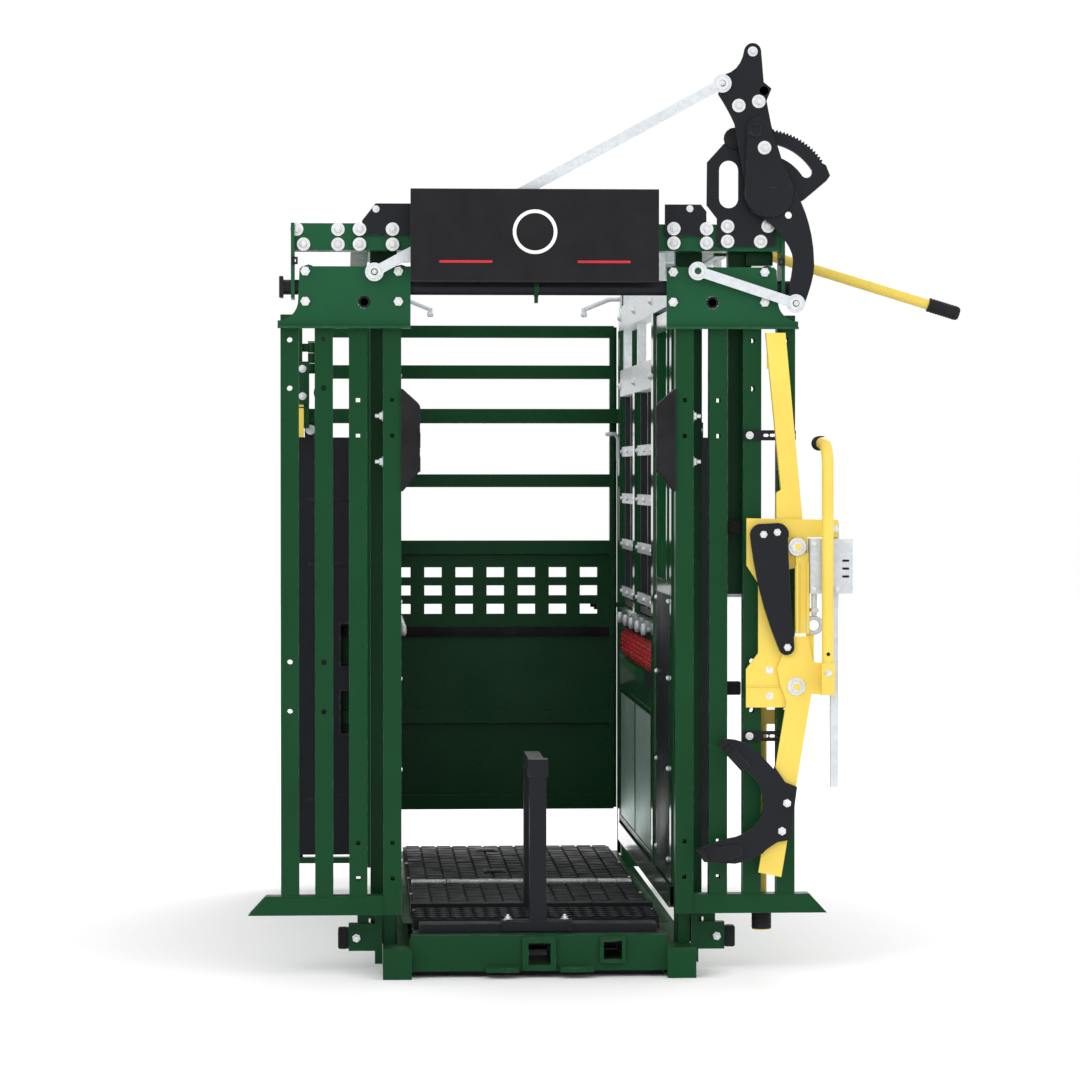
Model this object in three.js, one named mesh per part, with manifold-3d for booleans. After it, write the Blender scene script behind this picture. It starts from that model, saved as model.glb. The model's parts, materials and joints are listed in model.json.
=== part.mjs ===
// Cattle squeeze chute: a steel crush that an animal walks into from the rear.
// A pair of sliding head-gate leaves closes on the neck, two parallel side walls squeeze the body,
// and a swing arm with a crescent jaw steadies the head.
// Millimetres. X runs to the viewer's right at the head gate, Y towards the rear, Z up.
// The origin is on the ground, under the front floor joist, on the centre line.

import * as THREE from 'three';
import { mergeVertices } from 'three/addons/utils/BufferGeometryUtils.js';
import Module from 'manifold-3d';

const wasm = await Module();
wasm.setup();

// ---------------------------------------------------------------- driving dimensions

const GAP = 0.3;                    // clearance between pieces that touch
const RUNNING = 1;                  // clearance of a faceted pin in its hole
const HALF_INSIDE = 380;            // half of the clear width between the side walls

const base = {
  skidCentre: 397, skidSize: 76, skidFront: -96, skidBack: 2330,
  beamFront: -60, beamBack: -10, beamLow: 18, beamHigh: 118,
  joistThick: 12, joistWidth: 60, joistFront: -8,
  panLow: 112.5, panHigh: 118, floorFront: 2, floorBack: 2225, floorHalf: 352,
  thresholdHalf: 334, thresholdHigh: 142,
};
const mat = { low: 118.3, high: 145, frontStart: 100, frontEnd: 352, rearStart: 400, rearEnd: 2160 };
const receiver = { outer: 92, hole: 62, centreZ: 66, back: 150 };
const sideReceiver = { x: 205, outer: 70, hole: 52, centreZ: 76 };

const leaf = {
  tube: 50.8, wall: 3.2, count: 4, pitch: 95.2, inner: 384,
  low: 172, barHigh: 226, high: 1850, barEnd: 812, barMitre: 50,
  plateInner: 358, plateShoulder: 667, plateOuter: 728,
  plateLow: 1811, plateHigh: 1984, plateFront: -33, plateThick: 6,
  filletRadius: 57, pinHoles: [742, 880, 1645, 1780], pinHoleRadius: 8, padHoles: [275, 375, 1512, 1612],
};
const roller = { radius: 20, high: 1969.5, low: 1884.5, inner: 384, outer: 642, back: 20 };
const track = { radius: 21, z: 1927, halfLength: 712 };
const pad = { low: 1357, high: 1643, proud: 53, ramp: 46, front: -34, back: 34 };

const header = { half: 691, low: 2030, high: 2105, front: -12, back: 78, wall: 6, hangerLow: 1895 };
const sign = {
  left: -359, right: 332, low: 1939, high: 2197, front: -90, back: -74,
  bracketLow: 2066, bracketHigh: 2092,
};

const post = { inner: 394, outer: 470, front: 100, back: 138, low: 76.3 };
const rearPost = { front: 2172, back: 2232 };
const topRail = { inner: 474, outer: 524, low: 2042, high: 2092, front: 80, back: 2290, wall: 4 };
const tower = { left: 540, right: 606, front: 62, back: 112, low: 1066, high: 1980 };

const wall = {
  inner: HALF_INSIDE, outer: 430, front: 142, back: 2150,
  sillLow: 170, sillHigh: 233, frontPost: [700, 770], midPost: [1425, 1495], rearPost: [2080, 2150],
  shelfLow: 790, shelfHigh: 800, latchLow: 901, latchHigh: 965,
  beamLow: 1665, beamHigh: 1752, topLow: 1887, topHigh: 1966, thick: 4,
};
const neckDoor = { low: 236, high: 1875, sheetHigh: 1100, hingeY: 692, stile: 55, thick: 3.5 };
const lowerPanel = { low: 240, high: 740, thick: 28, slope: 40 };
const dropGate = { low: 968, high: 1660, bars: 3, barWidth: 26, slatHeights: [1015, 1173, 1325, 1480] };

const lever = {
  pivot: [635, 2181], front: -52, back: -44,
  linkPin: [511, 2495], topPin: [597, 2585], lowerPin: [718, 1882],
};
const mountPlate = { front: -22, back: -14 };
const sector = { centre: [629, 2169], outer: 203, slotOuter: 162, slotInner: 130, teeth: 17, tooth: 7,
  front: -38, back: -28 };
const cover = { front: -64, back: -54, low: [642, 2190], lowRadius: 67, high: [611, 2370], highRadius: 31 };
const link = { front: -62, back: -54, halfWidth: 14, eye: 26, hole: 9 };
const leafEyes = { left: [-459, 1967], right: [443, 1972] };

const squeezeArm = { pivot: [579, 2060], tilt: -17, length: 664, radius: 15, y: 200 };

const sweepArm = { pin: [718, 812], upperPin: [719.5, 1202] };
const jaw = {
  inside: [[498, 648], [554, 600], [607, 545], [625, 485], [607, 432], [562, 398], [505, 384], [441, 358]],
  outside: [
    [458, 327], [545, 318], [622, 346], [676, 420], [690, 490], [672, 556], [637, 600], [579, 655], [516, 668],
  ],
  flange: [[655, 590], [686, 545], [719, 532], [700, 384], [664, 378], [622, 350]],
  pads: [
    [[493, 652], [516, 668], [545, 650], [585, 592], [562, 577], [530, 612]],
    [[436, 356], [458, 324], [498, 322], [566, 343], [556, 372], [505, 366], [470, 372]],
  ],
};

// ---------------------------------------------------------------- materials

const finish = (color, roughness, metalness = 0) =>
  new THREE.MeshStandardMaterial({ color, roughness, metalness });

const paints = {
  green: () => finish(0x1e5830, 0.42, 0.1),
  black: () => finish(0x23262d, 0.45, 0.1),
  yellow: () => finish(0xfae15a, 0.4, 0.1),
  steel: () => finish(0xd8dee2, 0.38, 0.8),
  rubber: () => finish(0x1a1b1e, 0.8),
  poly: () => finish(0x262226, 0.5),
  red: () => finish(0xc81e28, 0.35),
};

// ---------------------------------------------------------------- solids

function toManifold(geometry) {
  const bare = geometry.clone();
  bare.deleteAttribute('normal');
  bare.deleteAttribute('uv');
  const merged = mergeVertices(bare, 1e-4);
  return new wasm.Manifold(new wasm.Mesh({
    numProp: 3,
    vertProperties: new Float32Array(merged.attributes.position.array),
    triVerts: new Uint32Array(merged.index.array),
  }));
}

function toGeometry(manifold) {
  const mesh = manifold.getMesh();
  const geometry = new THREE.BufferGeometry();
  geometry.setAttribute('position', new THREE.BufferAttribute(mesh.vertProperties, 3));
  geometry.setIndex(new THREE.BufferAttribute(mesh.triVerts, 1));
  geometry.computeVertexNormals();
  return geometry;
}

const join = (...solids) => solids.reduce((sum, next) => sum.add(next));
const cut = (body, ...tools) => tools.reduce((rest, tool) => rest.subtract(tool), body);

// A block between two corners, given in any order along each axis.
function block(x0, x1, y0, y1, z0, z1) {
  const box = new THREE.BoxGeometry(Math.abs(x1 - x0), Math.abs(y1 - y0), Math.abs(z1 - z0));
  box.translate((x0 + x1) / 2, (y0 + y1) / 2, (z0 + z1) / 2);
  return toManifold(box);
}

// A square tube: a block, hollow along one axis and open at both ends.
function tube(along, t, x0, x1, y0, y1, z0, z1) {
  const low = [Math.min(x0, x1), Math.min(y0, y1), Math.min(z0, z1)];
  const high = [Math.max(x0, x1), Math.max(y0, y1), Math.max(z0, z1)];
  const inset = [0, 1, 2].map((axis) => (axis === along ? -5 : t));
  return cut(
    block(x0, x1, y0, y1, z0, z1),
    block(low[0] + inset[0], high[0] - inset[0], low[1] + inset[1], high[1] - inset[1],
      low[2] + inset[2], high[2] - inset[2]),
  );
}
const [ALONG_X, ALONG_Y, ALONG_Z] = [0, 1, 2];

// A frame welded from rectangular tube. Each bar is a box of six limits and a list of its open ends.
function tubeFrame(t, bars) {
  const outsides = bars.map(({ box }) => block(...box));
  const insides = bars.map(({ box, open = [] }) => {
    const limits = [0, 1, 2].flatMap((axis) => {
      const low = Math.min(box[2 * axis], box[2 * axis + 1]);
      const high = Math.max(box[2 * axis], box[2 * axis + 1]);
      const name = 'xyz'[axis];
      return [open.includes(`-${name}`) ? low - t : low + t, open.includes(`+${name}`) ? high + t : high - t];
    });
    return block(...limits);
  });
  return cut(join(...outsides), ...insides);
}

function outline(points) {
  const corners = points.map(([x, z]) => new THREE.Vector2(x, z));
  return new THREE.Shape(THREE.ShapeUtils.isClockWise(corners) ? corners.reverse() : corners);
}

// A plate that faces the front: its outline is in X and Z, its thickness runs from front to back in Y.
function frontPlate(shape, front, back, curveSegments = 6) {
  const geometry = new THREE.ExtrudeGeometry(shape, {
    depth: back - front, bevelEnabled: false, curveSegments,
  });
  geometry.rotateX(Math.PI / 2);
  geometry.translate(0, back, 0);
  return toManifold(geometry);
}

function rodY(x, z, radius, y0, y1, segments = 16) {
  const rod = new THREE.CylinderGeometry(radius, radius, Math.abs(y1 - y0), segments);
  rod.translate(x, (y0 + y1) / 2, z);
  return toManifold(rod);
}

function rodX(y, z, radius, x0, x1, segments = 16) {
  const rod = new THREE.CylinderGeometry(radius, radius, Math.abs(x1 - x0), segments);
  rod.rotateZ(Math.PI / 2);
  rod.translate((x0 + x1) / 2, y, z);
  return toManifold(rod);
}

function rodZ(x, y, radius, z0, z1, segments = 16) {
  const rod = new THREE.CylinderGeometry(radius, radius, Math.abs(z1 - z0), segments);
  rod.rotateX(Math.PI / 2);
  rod.translate(x, y, (z0 + z1) / 2);
  return toManifold(rod);
}

const chute = new THREE.Group();

function piece(name, manifold, paint, group = chute) {
  const mesh = new THREE.Mesh(toGeometry(manifold), paint());
  mesh.name = name;
  group.add(mesh);
  return mesh;
}

const sideName = (side) => (side < 0 ? 'left' : 'right');

// ---------------------------------------------------------------- base and floor

function skid(side) {
  const x0 = side * (base.skidCentre - base.skidSize / 2);
  const x1 = side * (base.skidCentre + base.skidSize / 2);
  const runner = tube(ALONG_Y, 5, x0, x1, base.skidFront + 8, base.skidBack, 0, base.skidSize);
  const nose = block(x0 - side * 2, x1 + side * 2, base.skidFront, base.skidFront + 10, 0, base.skidSize + 8);
  return join(runner, nose);
}

// The front beam carries two square receivers and two flat lugs beside the middle one.
function frontBeam() {
  const half = base.skidCentre - base.skidSize / 2 - GAP;
  const beam = block(-half, half, base.beamFront, base.beamBack, base.beamLow, base.beamHigh);
  const bores = [[0, receiver], [sideReceiver.x, sideReceiver]].map(([x, r]) => {
    const h = r.hole / 2;
    return block(x - h, x + h, -200, 200, r.centreZ - h, r.centreZ + h);
  });
  const lugs = [-1, 1].map((side) => block(side * 58, side * 150, base.beamFront - 38, base.beamFront + 1,
    base.beamLow, base.beamLow + 12));
  const sockets = [receiverTube(0, receiver), receiverTube(sideReceiver.x, sideReceiver)];
  return join(cut(beam, ...bores), ...lugs, ...sockets);
}

function receiverTube(x, r) {
  const h = r.outer / 2;
  const wallThick = (r.outer - r.hole) / 2;
  return tube(ALONG_Y, wallThick, x - h, x + h, base.beamFront - 16, receiver.back,
    r.centreZ - h, r.centreZ + h);
}

// Flat joists under a sheet floor, with the two black bars that hold the mats in place.
function floorPan() {
  const half = base.floorHalf;
  const pan = block(-half, half, base.floorFront, base.floorBack, base.panLow, base.panHigh);
  const posts = [];
  for (const y of [base.joistFront, 560, 1120, 1680, base.floorBack - base.joistWidth - 2]) {
    posts.push(block(-half, half, y, y + base.joistWidth, 0, base.joistThick));
    for (const x of [-300, 300]) {
      posts.push(block(x - 20, x + 20, y + 10, y + 50, base.joistThick - 1, base.panLow + 1));
    }
  }
  const threshold = block(-base.thresholdHalf, base.thresholdHalf, base.floorFront, base.floorFront + 76,
    base.panHigh - 1, base.thresholdHigh);
  const crossBar = block(-half, half, mat.frontEnd + 2, mat.rearStart - 2, base.panHigh - 1, 160);
  return join(pan, ...posts, threshold, crossBar);
}

function floorMat(y0, y1) {
  const half = base.floorHalf - 4;
  return block(-half, half, y0, y1, mat.low, mat.high);
}

// The brisket bar: a bolted foot, an upright at the front, a bar along the top, a leg at the back.
function brisketBar() {
  const footZ = base.thresholdHigh + GAP;
  const foot = block(-98, 97, 12, 56, footZ, footZ + 8);
  const front = block(-23.5, 23.5, 8, 55, footZ, 562);
  const cap = block(-28, 28, 3, 60, 556, 604);
  const top = block(-22, 22, 30, 400, 556, 598);
  const back = block(-23.5, 23.5, 352.5, 397.5, 160.3, 560);
  return join(foot, front, cap, top, back);
}

piece('left_skid', skid(-1), paints.green);
piece('right_skid', skid(1), paints.green);
piece('front_beam', frontBeam(), paints.green);
piece('floor_pan', floorPan(), paints.black);
piece('front_mat', floorMat(mat.frontStart, mat.frontEnd), paints.rubber);
piece('rear_mat', floorMat(mat.rearStart, mat.rearEnd), paints.rubber);
piece('brisket_bar', brisketBar(), paints.black);

// ---------------------------------------------------------------- fixed frame

// The front post has an inverted U bracket at its foot, with a blade and a side bumper inside it.
function frontPost(side) {
  const upright = tube(ALONG_Z, 4, side * post.inner, side * post.outer, post.front, post.back,
    post.low, topRail.low - GAP);
  const arch = cut(
    block(side * 402, side * 507, post.front - 18, post.front + 1, post.low, 187),
    block(side * 434, side * 475, post.front - 40, post.front + 20, 60, 150),
  );
  const blade = block(side * 437, side * 458, post.front - 30, post.front - 10, 23, 175);
  const arm = block(side * 457, side * 532, post.front - 30, post.front - 10, 60, 137);
  const bumper = block(side * 530, side * 557, post.front - 31, post.front - 6, 67, 126);
  const tie = block(side * 437, side * 532, post.front - 11, post.front + 1, 86, 137);
  return join(upright, arch, blade, arm, bumper, tie);
}

// A channel open to the rear, with end plates that hold the track.
function headerBeam() {
  const h = header;
  const face = block(-h.half, h.half, h.front, h.front + h.wall, h.low, h.high);
  const top = block(-h.half, h.half, h.front, h.back, h.high - h.wall, h.high);
  const lip = block(-h.half, h.half, h.front, h.back, h.low, h.low + h.wall);
  const ends = [-1, 1].map((side) =>
    block(side * h.half, side * (h.half - 10), h.front - 18, h.back, h.hangerLow, h.high));
  const body = join(face, top, lip, ...ends);
  return cut(body, rodX(0, track.z, track.radius + GAP, -900, 900, 20));
}

function gusset(side) {
  const [inner, outer] = [354, 483];
  const shape = outline([
    [side * inner, 2072], [side * inner, 2160], [side * (outer - 28), 2160],
    [side * (outer + 10), 2112], [side * (outer + 10), 2072],
  ]);
  return frontPlate(shape, -22, header.front - GAP);
}

// The sign panel hangs on two bent brackets in front of the header.
function signPanel() {
  const s = sign;
  const panel = block(s.left, s.right, s.front, s.back, s.low, s.high);
  const brackets = [s.left + 22, s.right - 22].map((x) =>
    block(x - 12, x + 12, s.back - 1, header.front - GAP, s.bracketLow, s.bracketHigh));
  return join(panel, ...brackets);
}

// The plate that carries the lever: a foot bolted to the header, a slotted neck and the toothed sector.
function leverMount() {
  const foot = outline([
    [500, 2043], [662, 2043], [662, 2110], [700, 2181], [672, 2235], [611, 2270], [560, 2345],
    [519, 2330], [472, 2278], [471, 2158], [500, 2121],
  ]);
  const slot = new THREE.Path();
  slot.absarc(533, 2256, 27, 0, Math.PI);
  slot.absarc(533, 2177, 27, Math.PI, 2 * Math.PI);
  foot.holes.push(slot);
  const plate = frontPlate(foot, mountPlate.front, mountPlate.back);
  const bumper = rodY(550, 2345, 31, mountPlate.front, mountPlate.back);
  const bolster = rodY(lever.pivot[0], lever.pivot[1], 22, sector.back - 1, header.front - 1);
  return join(plate, bumper, bolster, toothedSector());
}

function toothedSector() {
  const [cx, cz] = sector.centre;
  const angle = (degreesFromTop) => Math.PI / 2 - THREE.MathUtils.degToRad(degreesFromTop);
  const at = (degrees, radius) =>
    [cx + radius * Math.cos(angle(degrees)), cz + radius * Math.sin(angle(degrees))];
  const rim = [at(-22, 30), at(-22, sector.outer - 12), at(6, sector.outer)];
  const step = 50 / sector.teeth;
  for (let i = 0; i < sector.teeth; i += 1) {
    const start = 8 + i * step;
    rim.push(at(start, sector.outer), at(start + step * 0.55, sector.outer - sector.tooth));
  }
  rim.push(at(60, sector.outer), at(69, sector.outer - 2), at(72, sector.outer - 16), [742, 2172], [650, 2130]);
  const shape = outline(rim);
  const slotRadius = (sector.slotOuter - sector.slotInner) / 2;
  const slotEnd = at(56, sector.slotInner + slotRadius);
  const slot = new THREE.Path();
  slot.absarc(cx, cz, sector.slotOuter, angle(14), angle(56), true);
  slot.absarc(...slotEnd, slotRadius, angle(56), angle(56) - Math.PI, true);
  slot.absarc(cx, cz, sector.slotInner, angle(56), angle(14), false);
  slot.closePath();
  shape.holes.push(slot);
  return frontPlate(shape, sector.front, sector.back + 7, 8);
}

function trackRail() {
  return rodX(0, track.z, track.radius, -track.halfLength, track.halfLength, 20);
}

function rearFramePost(side) {
  return tube(ALONG_Z, 4, side * post.inner, side * post.outer, rearPost.front, rearPost.back,
    base.skidSize + GAP, topRail.low - 60);
}

// Longitudinal rail outside the wall, from the header to the rear frame, with a drop leg at each end.
function sideTopRail(side) {
  const t = topRail;
  const rail = block(side * t.inner, side * t.outer, t.front, t.back, t.low, t.high);
  const hollow = block(side * (t.inner + t.wall), side * (t.outer - t.wall), t.front - 5, t.back + 5,
    t.low + t.wall, t.high - t.wall);
  const rear = block(side * (post.inner + 2), side * t.outer, rearPost.front, rearPost.back,
    t.low - 59, t.high);
  const front = block(side * (post.inner + 2), side * t.outer, t.front, t.front + 50, t.low, t.high - 4);
  const bearings = side > 0 ? [300, 1280].map(shaftBearing) : [];
  return cut(join(rail, rear, front, ...bearings), hollow);
}

// A block on the right-hand top rail that holds the squeeze shaft.
function shaftBearing(y) {
  const [x, z] = squeezeArm.pivot;
  const body = block(topRail.outer - 1, x + 30, y - 15, y + 15, z - 26, z + 30);
  return cut(body, rodY(x, z, 17 + RUNNING, y - 20, y + 20, 16));
}

function controlTower() {
  const t = tower;
  const column = tube(ALONG_Z, 4, t.left, t.right, t.front, t.back, t.low, t.high);
  const head = block(t.left, t.right, t.front, t.back, t.high - 6, header.low - GAP);
  return join(column, head);
}

piece('left_front_post', frontPost(-1), paints.green);
piece('right_front_post', frontPost(1), paints.green);
piece('header_beam', headerBeam(), paints.green);
piece('track_rail', trackRail(), paints.black);
piece('left_gusset', gusset(-1), paints.black);
piece('right_gusset', gusset(1).subtract(block(471 - GAP, 700, -60, 0, 2000, 2400)), paints.black);
piece('sign_panel', signPanel(), paints.poly);
piece('lever_mount', leverMount(), paints.black);
piece('left_rear_post', rearFramePost(-1), paints.green);
piece('right_rear_post', rearFramePost(1), paints.green);
piece('left_top_rail', sideTopRail(-1), paints.green);
piece('right_top_rail', sideTopRail(1), paints.green);
piece('control_tower', controlTower(), paints.green);

// ---------------------------------------------------------------- head-gate leaves

// Four uprights standing on one bottom bar whose outer end is mitred.
function leafFrame(side) {
  const half = leaf.tube / 2;
  const uprights = [];
  const holes = [];
  for (let i = 0; i < leaf.count; i += 1) {
    const x0 = leaf.inner + i * leaf.pitch;
    const x = side * (x0 + half);
    if (i < 2) {
      holes.push(...leaf.padHoles.map((z) => block(x - 6, x + 6, -2 * half, 2 * half, z - 6, z + 6)));
    } else {
      holes.push(...leaf.pinHoles.map((z) => rodY(x, z, leaf.pinHoleRadius, -2 * half, 2 * half, 10)));
    }
    uprights.push(tube(ALONG_Z, leaf.wall, side * x0, side * (x0 + leaf.tube), -half, half,
      i === 0 ? leaf.low : leaf.barHigh - 1, leaf.high));
  }
  const start = leaf.inner + leaf.tube - 1;
  const bar = frontPlate(outline([
    [side * start, leaf.low], [side * leaf.barEnd, leaf.low],
    [side * (leaf.barEnd - leaf.barMitre), leaf.barHigh], [side * start, leaf.barHigh],
  ]), -half, half);
  const hollow = block(side * (start + 3), side * 900, -half + 3, half - 3, leaf.low + 3, leaf.barHigh - 3);
  return cut(join(bar.subtract(hollow), ...uprights), ...holes);
}

// Front plate with a hollow corner, a bent lower edge and four rollers that run on the track.
function leafPlate(side) {
  const shape = new THREE.Shape();
  const r = leaf.filletRadius;
  shape.moveTo(leaf.plateInner, leaf.plateLow);
  shape.lineTo(leaf.plateOuter, leaf.plateLow);
  shape.lineTo(leaf.plateOuter, leaf.plateLow + 22);
  shape.absarc(leaf.plateShoulder + r + 4, leaf.plateLow + 22 + r, r, -Math.PI / 2, -Math.PI, true);
  shape.lineTo(leaf.plateShoulder, leaf.plateHigh - 8);
  shape.lineTo(leaf.plateShoulder - 8, leaf.plateHigh);
  shape.lineTo(leaf.plateInner, leaf.plateHigh);
  const hole = new THREE.Path();
  hole.absarc(487, 1885, 18, 0, 2 * Math.PI);
  shape.holes.push(hole);
  const back = leaf.plateFront + leaf.plateThick;
  const plate = frontPlate(shape, leaf.plateFront, back);
  const flange = block(leaf.plateInner, leaf.plateOuter, leaf.plateFront - 16, back, leaf.plateLow,
    leaf.plateLow + 6);
  const rollers = [];
  for (const x of [roller.inner, roller.outer]) {
    for (const z of [roller.low, roller.high]) {
      rollers.push(rodY(x, z, 8, back - 1, 0, 8));
      rollers.push(rodY(x, z, roller.radius, -roller.back, roller.back, 12));
    }
  }
  const all = join(plate, flange, ...rollers);
  const pin = eyePin(side < 0 ? leafEyes.left : leafEyes.right);
  return join(side < 0 ? all.mirror([1, 0, 0]) : all, pin);
}

// The pin that carries a link's eye stands on the leaf plate.
function eyePin([x, z]) {
  return join(
    rodY(x, z, link.hole - GAP, link.front - 8, leaf.plateFront + 1),
    rodY(x, z, 16, link.back + GAP, leaf.plateFront + 1),
  );
}

// Moulded rubber pad on the edge that meets the neck.
function neckPad(side) {
  const face = leaf.inner - GAP;
  return frontPlate(outline([
    [side * face, pad.low], [side * (face - pad.proud), pad.low + pad.ramp],
    [side * (face - pad.proud), pad.high - pad.ramp], [side * face, pad.high],
  ]), pad.front, pad.back);
}

// Flat bar with a round eye at each end.
function flatLink(start, end) {
  const along = new THREE.Vector2(end[0] - start[0], end[1] - start[1]);
  const angle = along.angle();
  const spread = Math.asin(link.halfWidth / link.eye);
  const shape = new THREE.Shape();
  shape.absarc(end[0], end[1], link.eye, angle - Math.PI + spread, angle + Math.PI - spread);
  shape.absarc(start[0], start[1], link.eye, angle + spread, angle + 2 * Math.PI - spread);
  shape.closePath();
  for (const [x, z] of [start, end]) {
    const hole = new THREE.Path();
    hole.absarc(x, z, link.hole, 0, 2 * Math.PI);
    shape.holes.push(hole);
  }
  return frontPlate(shape, link.front, link.back, 8);
}

const leaves = new THREE.Group();
chute.add(leaves);
for (const side of [-1, 1]) {
  const name = sideName(side);
  piece(`${name}_leaf_frame`, leafFrame(side), paints.green, leaves);
  piece(`${name}_leaf_plate`, leafPlate(side), paints.green, leaves);
  piece(`${name}_neck_pad`, neckPad(side), paints.rubber, leaves);
}

piece('long_link', flatLink(leafEyes.left, lever.linkPin), paints.steel, leaves);
piece('short_link', flatLink(leafEyes.right, lever.lowerPin), paints.steel, leaves);

// ---------------------------------------------------------------- head lever

// Two-armed lever: the top arm pulls the long link, the curved lower arm pulls the short one.
function leverArm() {
  const shape = new THREE.Shape();
  const [topX, topZ] = lever.topPin;
  shape.absarc(topX, topZ, 24, 0, 0.9 * Math.PI);
  shape.quadraticCurveTo(566, 2534, 519, 2521);
  shape.lineTo(500, 2466);
  shape.quadraticCurveTo(530, 2420, 546, 2383);
  shape.lineTo(572, 2240);
  shape.lineTo(590, 2140);
  shape.quadraticCurveTo(650, 2110, 673, 2077);
  shape.quadraticCurveTo(718, 2030, 710, 1988);
  shape.lineTo(698, 1900);
  shape.absarc(lever.lowerPin[0], lever.lowerPin[1], 24, 0.8 * Math.PI, 1.9 * Math.PI);
  shape.quadraticCurveTo(775, 1960, 770, 2003);
  shape.quadraticCurveTo(768, 2090, 733, 2167);
  shape.lineTo(690, 2250);
  shape.lineTo(650, 2377);
  shape.lineTo(636, 2448);
  shape.lineTo(650, 2482);
  shape.lineTo(628, 2500);
  const hole = new THREE.Path();
  hole.absarc(698, 2129, 10, 0, 2 * Math.PI);
  shape.holes.push(hole);
  return frontPlate(shape, lever.front, lever.back, 5);
}

// Drop-shaped cover over the pawl, between two round ends.
function leverCover() {
  const [lowX, lowZ] = cover.low;
  const [highX, highZ] = cover.high;
  const tilt = Math.atan2(highX - lowX, highZ - lowZ);
  const lean = Math.asin((cover.lowRadius - cover.highRadius) / Math.hypot(highX - lowX, highZ - lowZ));
  const right = lean - tilt;
  const left = Math.PI - lean - tilt;
  const shape = new THREE.Shape();
  shape.absarc(highX, highZ, cover.highRadius, right, left);
  shape.absarc(lowX, lowZ, cover.lowRadius, left, right + 2 * Math.PI);
  shape.closePath();
  const boss = rodY(highX, highZ, 20, cover.back - 1, lever.front + 1, 12);
  return join(frontPlate(shape, cover.front, cover.back, 12), boss);
}

const leverGroup = new THREE.Group();
chute.add(leverGroup);
const pivotPin = rodY(lever.pivot[0], lever.pivot[1], 14, sector.front - GAP, lever.back - 1);
piece('head_lever', join(leverArm(), leverCover(), pivotPin), paints.black, leverGroup);

// ---------------------------------------------------------------- squeeze handle

// A handle on a long shaft that runs the length of the chute under the right-hand top rail.
function squeezeHandle() {
  const arm = squeezeArm;
  const [x, z] = arm.pivot;
  const bar = new THREE.CylinderGeometry(arm.radius, arm.radius, arm.length, 16);
  bar.rotateZ(-Math.PI / 2);
  bar.translate(arm.length / 2, 0, 0);
  bar.rotateY(THREE.MathUtils.degToRad(-arm.tilt));
  bar.translate(x, arm.y, z);
  const hub = rodY(x, z, 34, arm.y - 26, arm.y + 26, 20);
  return join(toManifold(bar), hub);
}

function squeezeShaft() {
  const [x, z] = squeezeArm.pivot;
  const shaft = rodY(x, z, 17, squeezeArm.y + 26 + GAP, 1400, 16);
  const cranks = [760, 1340].map((y) => join(
    block(x - 12, x + 12, y - 6, y + 6, z - 120, z),
    rodY(x, z - 120, 18, y - 6, y + 6, 16),
  ));
  return join(shaft, ...cranks);
}

const squeezeGroup = new THREE.Group();
chute.add(squeezeGroup);
piece('squeeze_handle', squeezeHandle(), paints.yellow, squeezeGroup);
piece('squeeze_shaft', squeezeShaft(), paints.steel, squeezeGroup);

// ---------------------------------------------------------------- head sweep on the right leaf

const layer = {
  arm: [-60, -34], plate: [-72, -62], lower: [-84, -74], front: [-96, -86],
  box: [-112, -46], bar: [-73, -57], handle: [-133, 17],
};

// Yellow hanger from the leaf plate's lower edge down to the upper pin, with the pin itself.
function sweepHanger() {
  const [pinX, pinZ] = sweepArm.upperPin;
  const shape = outline([
    [634, 1800], [689, 1800], [741, 1240], [741, 1185], [694, 1185], [690, 1235],
    [664, 1236], [664, 1352], [677, 1362],
  ]);
  const bar = frontPlate(shape, layer.arm[0], layer.arm[1]);
  const foot = block(640, 684, layer.arm[1] - 1, -25.4 - GAP, 1700, 1795);
  return join(bar, foot, rodY(pinX, pinZ, 12, layer.front[0], layer.arm[0] + 1, 14));
}

// C-shaped yellow plate bolted through spacers to the leaf's outer uprights.
function sweepPlate() {
  const shape = outline([
    [579, 1282], [836, 1277], [836, 1229], [750, 1229], [750, 1150], [700, 1140], [686, 1080],
    [686, 900], [742, 862], [742, 800], [700, 753], [578, 753], [578, 860], [612, 905],
    [612, 1100], [579, 1150],
  ]);
  const plate = frontPlate(shape, layer.plate[0], layer.plate[1]);
  const spacers = [[600, 1215], [600, 800], [643, 857]].map(([x, z]) =>
    rodY(x, z, 14, layer.plate[1] - 1, -25.4 - GAP, 12));
  const [pinX, pinZ] = sweepArm.pin;
  const pin = rodY(pinX, pinZ, 12, layer.lower[0] - 8, layer.plate[1], 14);
  const body = join(plate, ...spacers, pin, ...stay());
  return cut(body, rodY(sweepArm.upperPin[0], sweepArm.upperPin[1], 12 + RUNNING, -100, -50, 14));
}

// Folded channel that stiffens the plate between the two pins.
function stay() {
  const web = block(716, 752, layer.lower[0], layer.plate[0] + 1, 960, 1185);
  const lips = [716, 746].map((x) => block(x, x + 6, layer.front[0] + 2, layer.lower[0] + 1, 960, 1160));
  return [web, ...lips];
}

// Black side plate bolted over the channel.
function sideLink() {
  const shape = new THREE.Shape();
  shape.absarc(664, 1238, 31, -0.15 * Math.PI, 0.55 * Math.PI);
  shape.absarc(618, 1235, 32, 0.55 * Math.PI, 1.05 * Math.PI);
  shape.quadraticCurveTo(606, 1060, 668, 915);
  shape.absarc(689, 922, 22, -0.85 * Math.PI, 0.05 * Math.PI);
  shape.lineTo(700, 1060);
  const plate = frontPlate(shape, layer.front[0] - GAP, layer.front[1] - GAP, 5);
  const spacers = [[624, 1237], [662, 1243]].map(([x, z]) =>
    rodY(x, z, 9, layer.front[1] - 1, layer.plate[0] - GAP, 10));
  return join(plate, ...spacers);
}

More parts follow.
